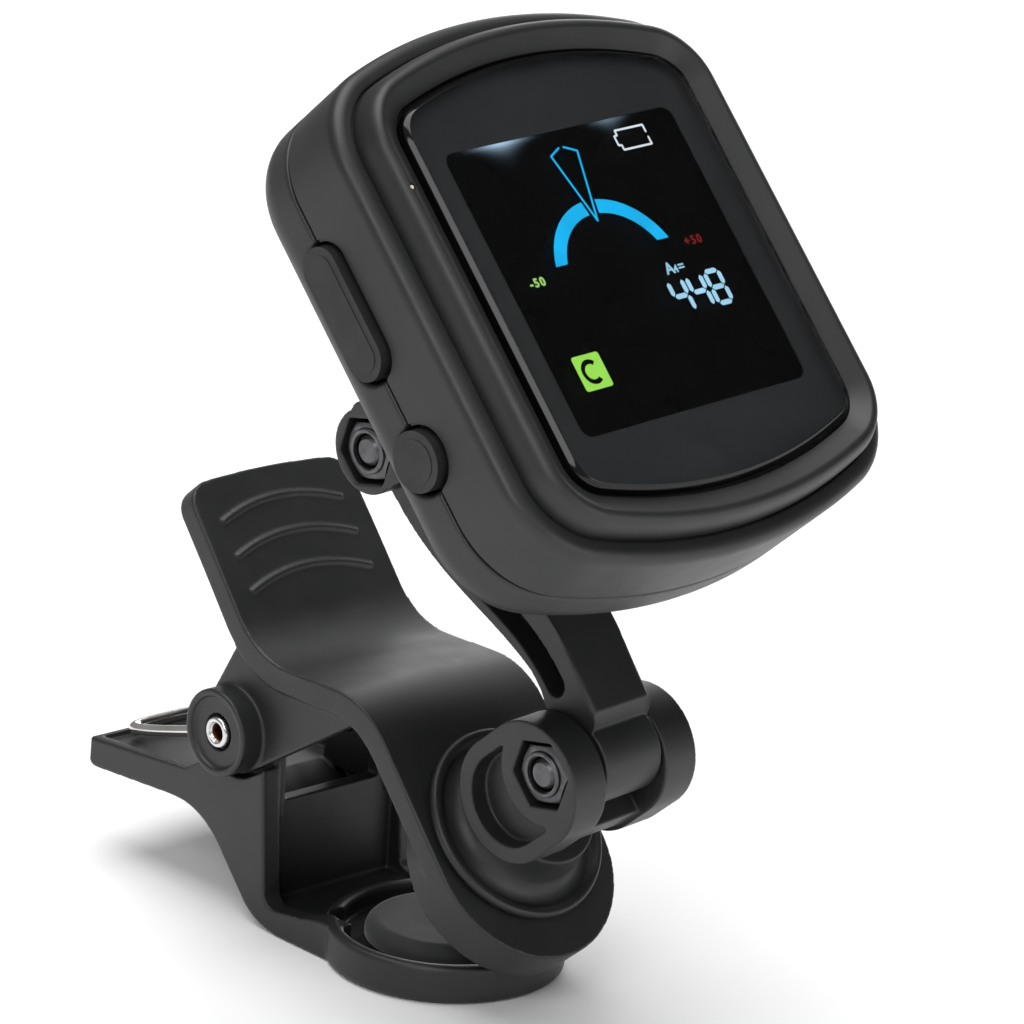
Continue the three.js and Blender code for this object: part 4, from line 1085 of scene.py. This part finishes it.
def display_film():
    """The panel's dark face, with the backlight leaking in at two places along its top edge."""
    bm = bmesh.new()
    bmesh.ops.create_grid(bm, x_segments=FILM_GRID, y_segments=FILM_GRID, size=1)
    reach = Matrix.Diagonal((WINDOW_X + FILM_MARGIN, WINDOW_Y + FILM_MARGIN, 1, 1))
    place = Matrix.Translation((0, 0, PANEL_TOP + FILM_LIFT)) @ reach
    bmesh.ops.transform(bm, matrix=place, verts=bm.verts)
    bmesh.ops.solidify(bm, geom=bm.faces[:], thickness=FILM_THICKNESS)
    film = solid(bm)
    glow = film.data.attributes.new("glow", "FLOAT", "POINT")
    for vert, value in zip(film.data.vertices, glow.data):
        down = WINDOW_Y - vert.co.y
        for x, spread, strength in LEAKS:
            across = ((vert.co.x - x) / spread) ** 2
            value.value += strength * math.exp(-across - max(down, 0) * (LEAK_FADE + LEAK_TAPER * across))
    return film


def cover_print():
    """The dark border printed under the cover, open over the display."""
    sheet = housing_slab(LENS_INSET + 0.1, LENS_UNDER - 0.16, LENS_UNDER - 0.04)
    return cut(sheet, prism(rounded_box(WINDOW_X, WINDOW_Y, WINDOW_R), -2, 2))


# ---- Pieces ----
def add_clip():
    piece("upper_jaw_moulding", upper_jaw(), SATIN, "upper_jaw", ["upper_jaw"], CLIP)
    piece("lower_jaw_moulding", lower_jaw(), SATIN, "lower_jaw", ["lower_jaw"], CLIP)
    piece("lower_grip_pad", lower_pad(), PAD, "lower_jaw", ["lower_pad"], CLIP, 40)
    piece("upper_grip_pad", upper_pad(), PAD, "upper_jaw", ["upper_pad"], CLIP @ LEAN, 40)
    inside = RIVET_BORE + 0.14
    rivet = paint(pivot_rivet(), BORE, lambda at, normal: math.dist((at.y, at.z), PIVOT) < inside)
    piece("rolled_rivet", rivet, STEEL, "lower_jaw", ["pivot_rivet"], CLIP, 50)
    wire, flex = torsion_spring(), ("upper_jaw", FLEX_START, FLEX_END)
    piece("spring_wire", wire, SPRING, "lower_jaw", ["torsion_spring"], CLIP, 60, flex)


def add_turret_and_arm():
    piece("turret_moulding", turret(), SATIN, "turret", ["turret"], TURRET)
    piece("arm_moulding", arm(), SATIN, "arm", ["arm"], TURRET)
    for name, axis, body in (("lower", LOW, "turret"), ("upper", UP, "head")):
        for kind, make in (("screw", hinge_screw), ("nut", hinge_nut)):
            node = f"{name}_hinge_{kind}"
            piece(node + "_turned", make(axis), DARK_STEEL, body, [node], TURRET, 35)


def add_head():
    piece("front_shell_moulding", front_shell(), SATIN, "head", ["front_shell"], crisp=35)
    piece("rear_shell_moulding", rear_shell(), SATIN, "head", ["rear_shell"])
    cover = housing_slab(LENS_INSET, LENS_UNDER, LENS_TOP, LENS_CHAMFER)
    paint(cover, EDGE, lambda at, normal: abs(normal.z) < 0.9)
    piece("polished_cover", cover, LENS, "head", ["lens"], crisp=25)
    piece("microphone_gauze", gauze_dome(), GAUZE, "head")
    piece("cover_border", cover_print(), PRINT, "head", crisp=30)
    piece("charging_port", charging_socket(), STEEL, "head", ["charging_socket"], crisp=35)
    for name, sizes in BUTTONS.items():
        node = f"{name}_button"
        piece(node + "_cap", button(*sizes), MATTE, node, [node], crisp=40)
    for i, (x, y) in enumerate(POSTS):
        node = f"case_screw_{i + 1}"
        piece(node + "_turned", case_screw(x, y), DARK_STEEL, "head", [node], crisp=35)


def add_display():
    """The readings: each with its shape, colour and brightness."""
    white, pale, blue = (0.90, 0.97, 1.0), (0.43, 0.78, 1.0), (0.0, 0.52, 1.0)
    lime, green, red = (0.50, 0.92, 0.22), (0.39, 0.88, 0.10), (0.60, 0.014, 0.006)
    shown = [
        ("gauge_arc", gauge_arc(), blue, 1.0),
        ("gauge_needle", needle(), blue, 1.0),
        ("battery_icon", battery_icon(), white, 1.0),
        ("low_end_label", text("-50", -12.0, 0.42, 0.85, 0.04), lime, 0.8),
        ("high_end_label", text("+50", 8.75, 0.78, 0.85, 0.04), red, 0.3),
        ("pitch_name", text("A", 4.7, -1.5, 1.15, 0.04), pale, 0.8),
        ("pitch_octave", text("4", 5.75, -1.5, 0.75, 0.03), pale, 0.8),
        ("pitch_equals", text("=", 6.4, -1.5, 1.0, 0.03), pale, 0.8),
        ("pitch_digits", pitch_digits(), pale, 1.0),
        ("note_block", note_block(), green, 1.0),
    ]
    for name, shape, colour, strength in shown:
        piece(name, shape, lit(name + "_light", colour, strength), "head", crisp=30)
    piece("display_film", display_film(), FILM, "head", crisp=30)


def finish_inner_nodes():
    """Inner CAD nodes keep their shapes and get node materials."""
    finishes = {
        **dict.fromkeys(("swivel_washer", "microphone"), STEEL),
        **dict.fromkeys(("long_switch", "round_switch"), SWITCH),
        **dict.fromkeys(("long_switch_stem", "round_switch_stem"), STEM),
        "swivel_screw": DARK_STEEL,
        "display_panel": PANEL,
        "circuit_board": BOARD,
        "battery": FOIL,
        "piezo_disc": BRASS,
    }
    for name, finish in finishes.items():
        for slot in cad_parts[name].material_slots:
            slot.material = finish


# ---- Studio ----
CAMERA_AT, CAMERA_LENS = (-305.0, -318.3, 176.0), 167.0  # in the clip's frame; millimetres
CAMERA_RIGHT, CAMERA_BACK = (0.728, -0.6845, 0.061), (-0.668, -0.6847, 0.295)
FLOOR_REACH, FLOOR_DROP = 4.0, 0.00005  # metres
WORLD, FLAGGED = 0.27, 0.03  # brightness all round, and in the direction that the display mirrors
FLAG_TOWARDS, FLAG_EDGE, FLAG_CORE = (0.668, -0.393, 0.632), 0.72, 0.95
OBJECT_MIDDLE = (0, 0.005, 0.045)
# Each softbox: its direction from the object, distance and size in metres, and power in watts
SOFTBOXES = {
    "key": ((-0.72, -0.42, 0.55), 0.9, 0.45, 2.6),
    "top": ((0.0, 0.1, 1.0), 2.5, 2.4, 72.0),
    "right": ((0.86, 0.48, 0.17), 1.2, 0.8, 6.5),
    "low": ((0.15, -0.97, 0.12), 1.3, 0.8, 4.5),
}


def add_camera():
    """A long lens from the front left, a little above."""
    data = bpy.data.cameras.new("camera")
    camera = linked("camera", data)
    data.sensor_width = 36.0
    data.lens = CAMERA_LENS
    data.clip_start = 0.05
    data.clip_end = 20.0
    back = Vector(CAMERA_BACK).normalized()
    up = back.cross(Vector(CAMERA_RIGHT).normalized()).normalized()
    right = up.cross(back).normalized()
    place = Matrix((right, up, back)).transposed().to_4x4()
    place.translation = CLIP @ Vector(CAMERA_AT) * MM
    camera.matrix_world = place
    bpy.context.scene.camera = camera


def add_floor():
    reach, low = FLOOR_REACH, cad_box[0][2] - FLOOR_DROP
    corners = [(-reach, -reach, low), (reach, -reach, low), (reach, reach, low), (-reach, reach, low)]
    made = bpy.data.meshes.new("floor")
    made.from_pydata(corners, [], [(0, 1, 2, 3)])
    floor = linked("floor", made)
    finish = Nodes("pale_floor")
    finish.tint(finish.noise(60.0), (0.90, 0.90, 0.90), (0.93, 0.93, 0.93))
    fill(finish.shader, Roughness=0.9, Specular_IOR_Level=0.1)
    made.materials.append(finish.material)


def add_world():
    """An even white world, darker where the display would mirror it."""
    world = bpy.data.worlds.new("world")
    bpy.context.scene.world = world
    world.use_nodes = True
    nodes, links = world.node_tree.nodes, world.node_tree.links
    background = fill(nodes["Background"], Color=(1, 1, 1, 1))
    where = nodes.new("ShaderNodeTexCoord")
    towards = nodes.new("ShaderNodeVectorMath")
    towards.operation = "DOT_PRODUCT"
    towards.inputs[1].default_value = Vector(FLAG_TOWARDS).normalized()
    flag = nodes.new("ShaderNodeMapRange")
    flag.interpolation_type = "SMOOTHSTEP"
    fill(flag, From_Min=FLAG_EDGE, From_Max=FLAG_CORE, To_Min=WORLD, To_Max=FLAGGED)
    links.new(where.outputs["Generated"], towards.inputs[0])
    links.new(towards.outputs["Value"], flag.inputs["Value"])
    links.new(flag.outputs["Result"], background.inputs["Strength"])


def add_softboxes():
    """Square softboxes round the object, each facing it."""
    for name, (direction, distance, size, power) in SOFTBOXES.items():
        data = bpy.data.lights.new(name, "AREA")
        data.shape = "SQUARE"
        data.size = size
        data.energy = power
        lamp = linked(name, data)
        towards = Vector(direction).normalized()
        lamp.location = Vector(OBJECT_MIDDLE) + towards * distance
        lamp.rotation_euler = towards.to_track_quat("Z", "Y").to_euler()


bpy.context.scene.view_settings.view_transform = "Standard"
add_camera()
add_floor()
add_world()
add_softboxes()
add_clip()
add_turret_and_arm()
add_head()
add_display()
finish_inner_nodes()
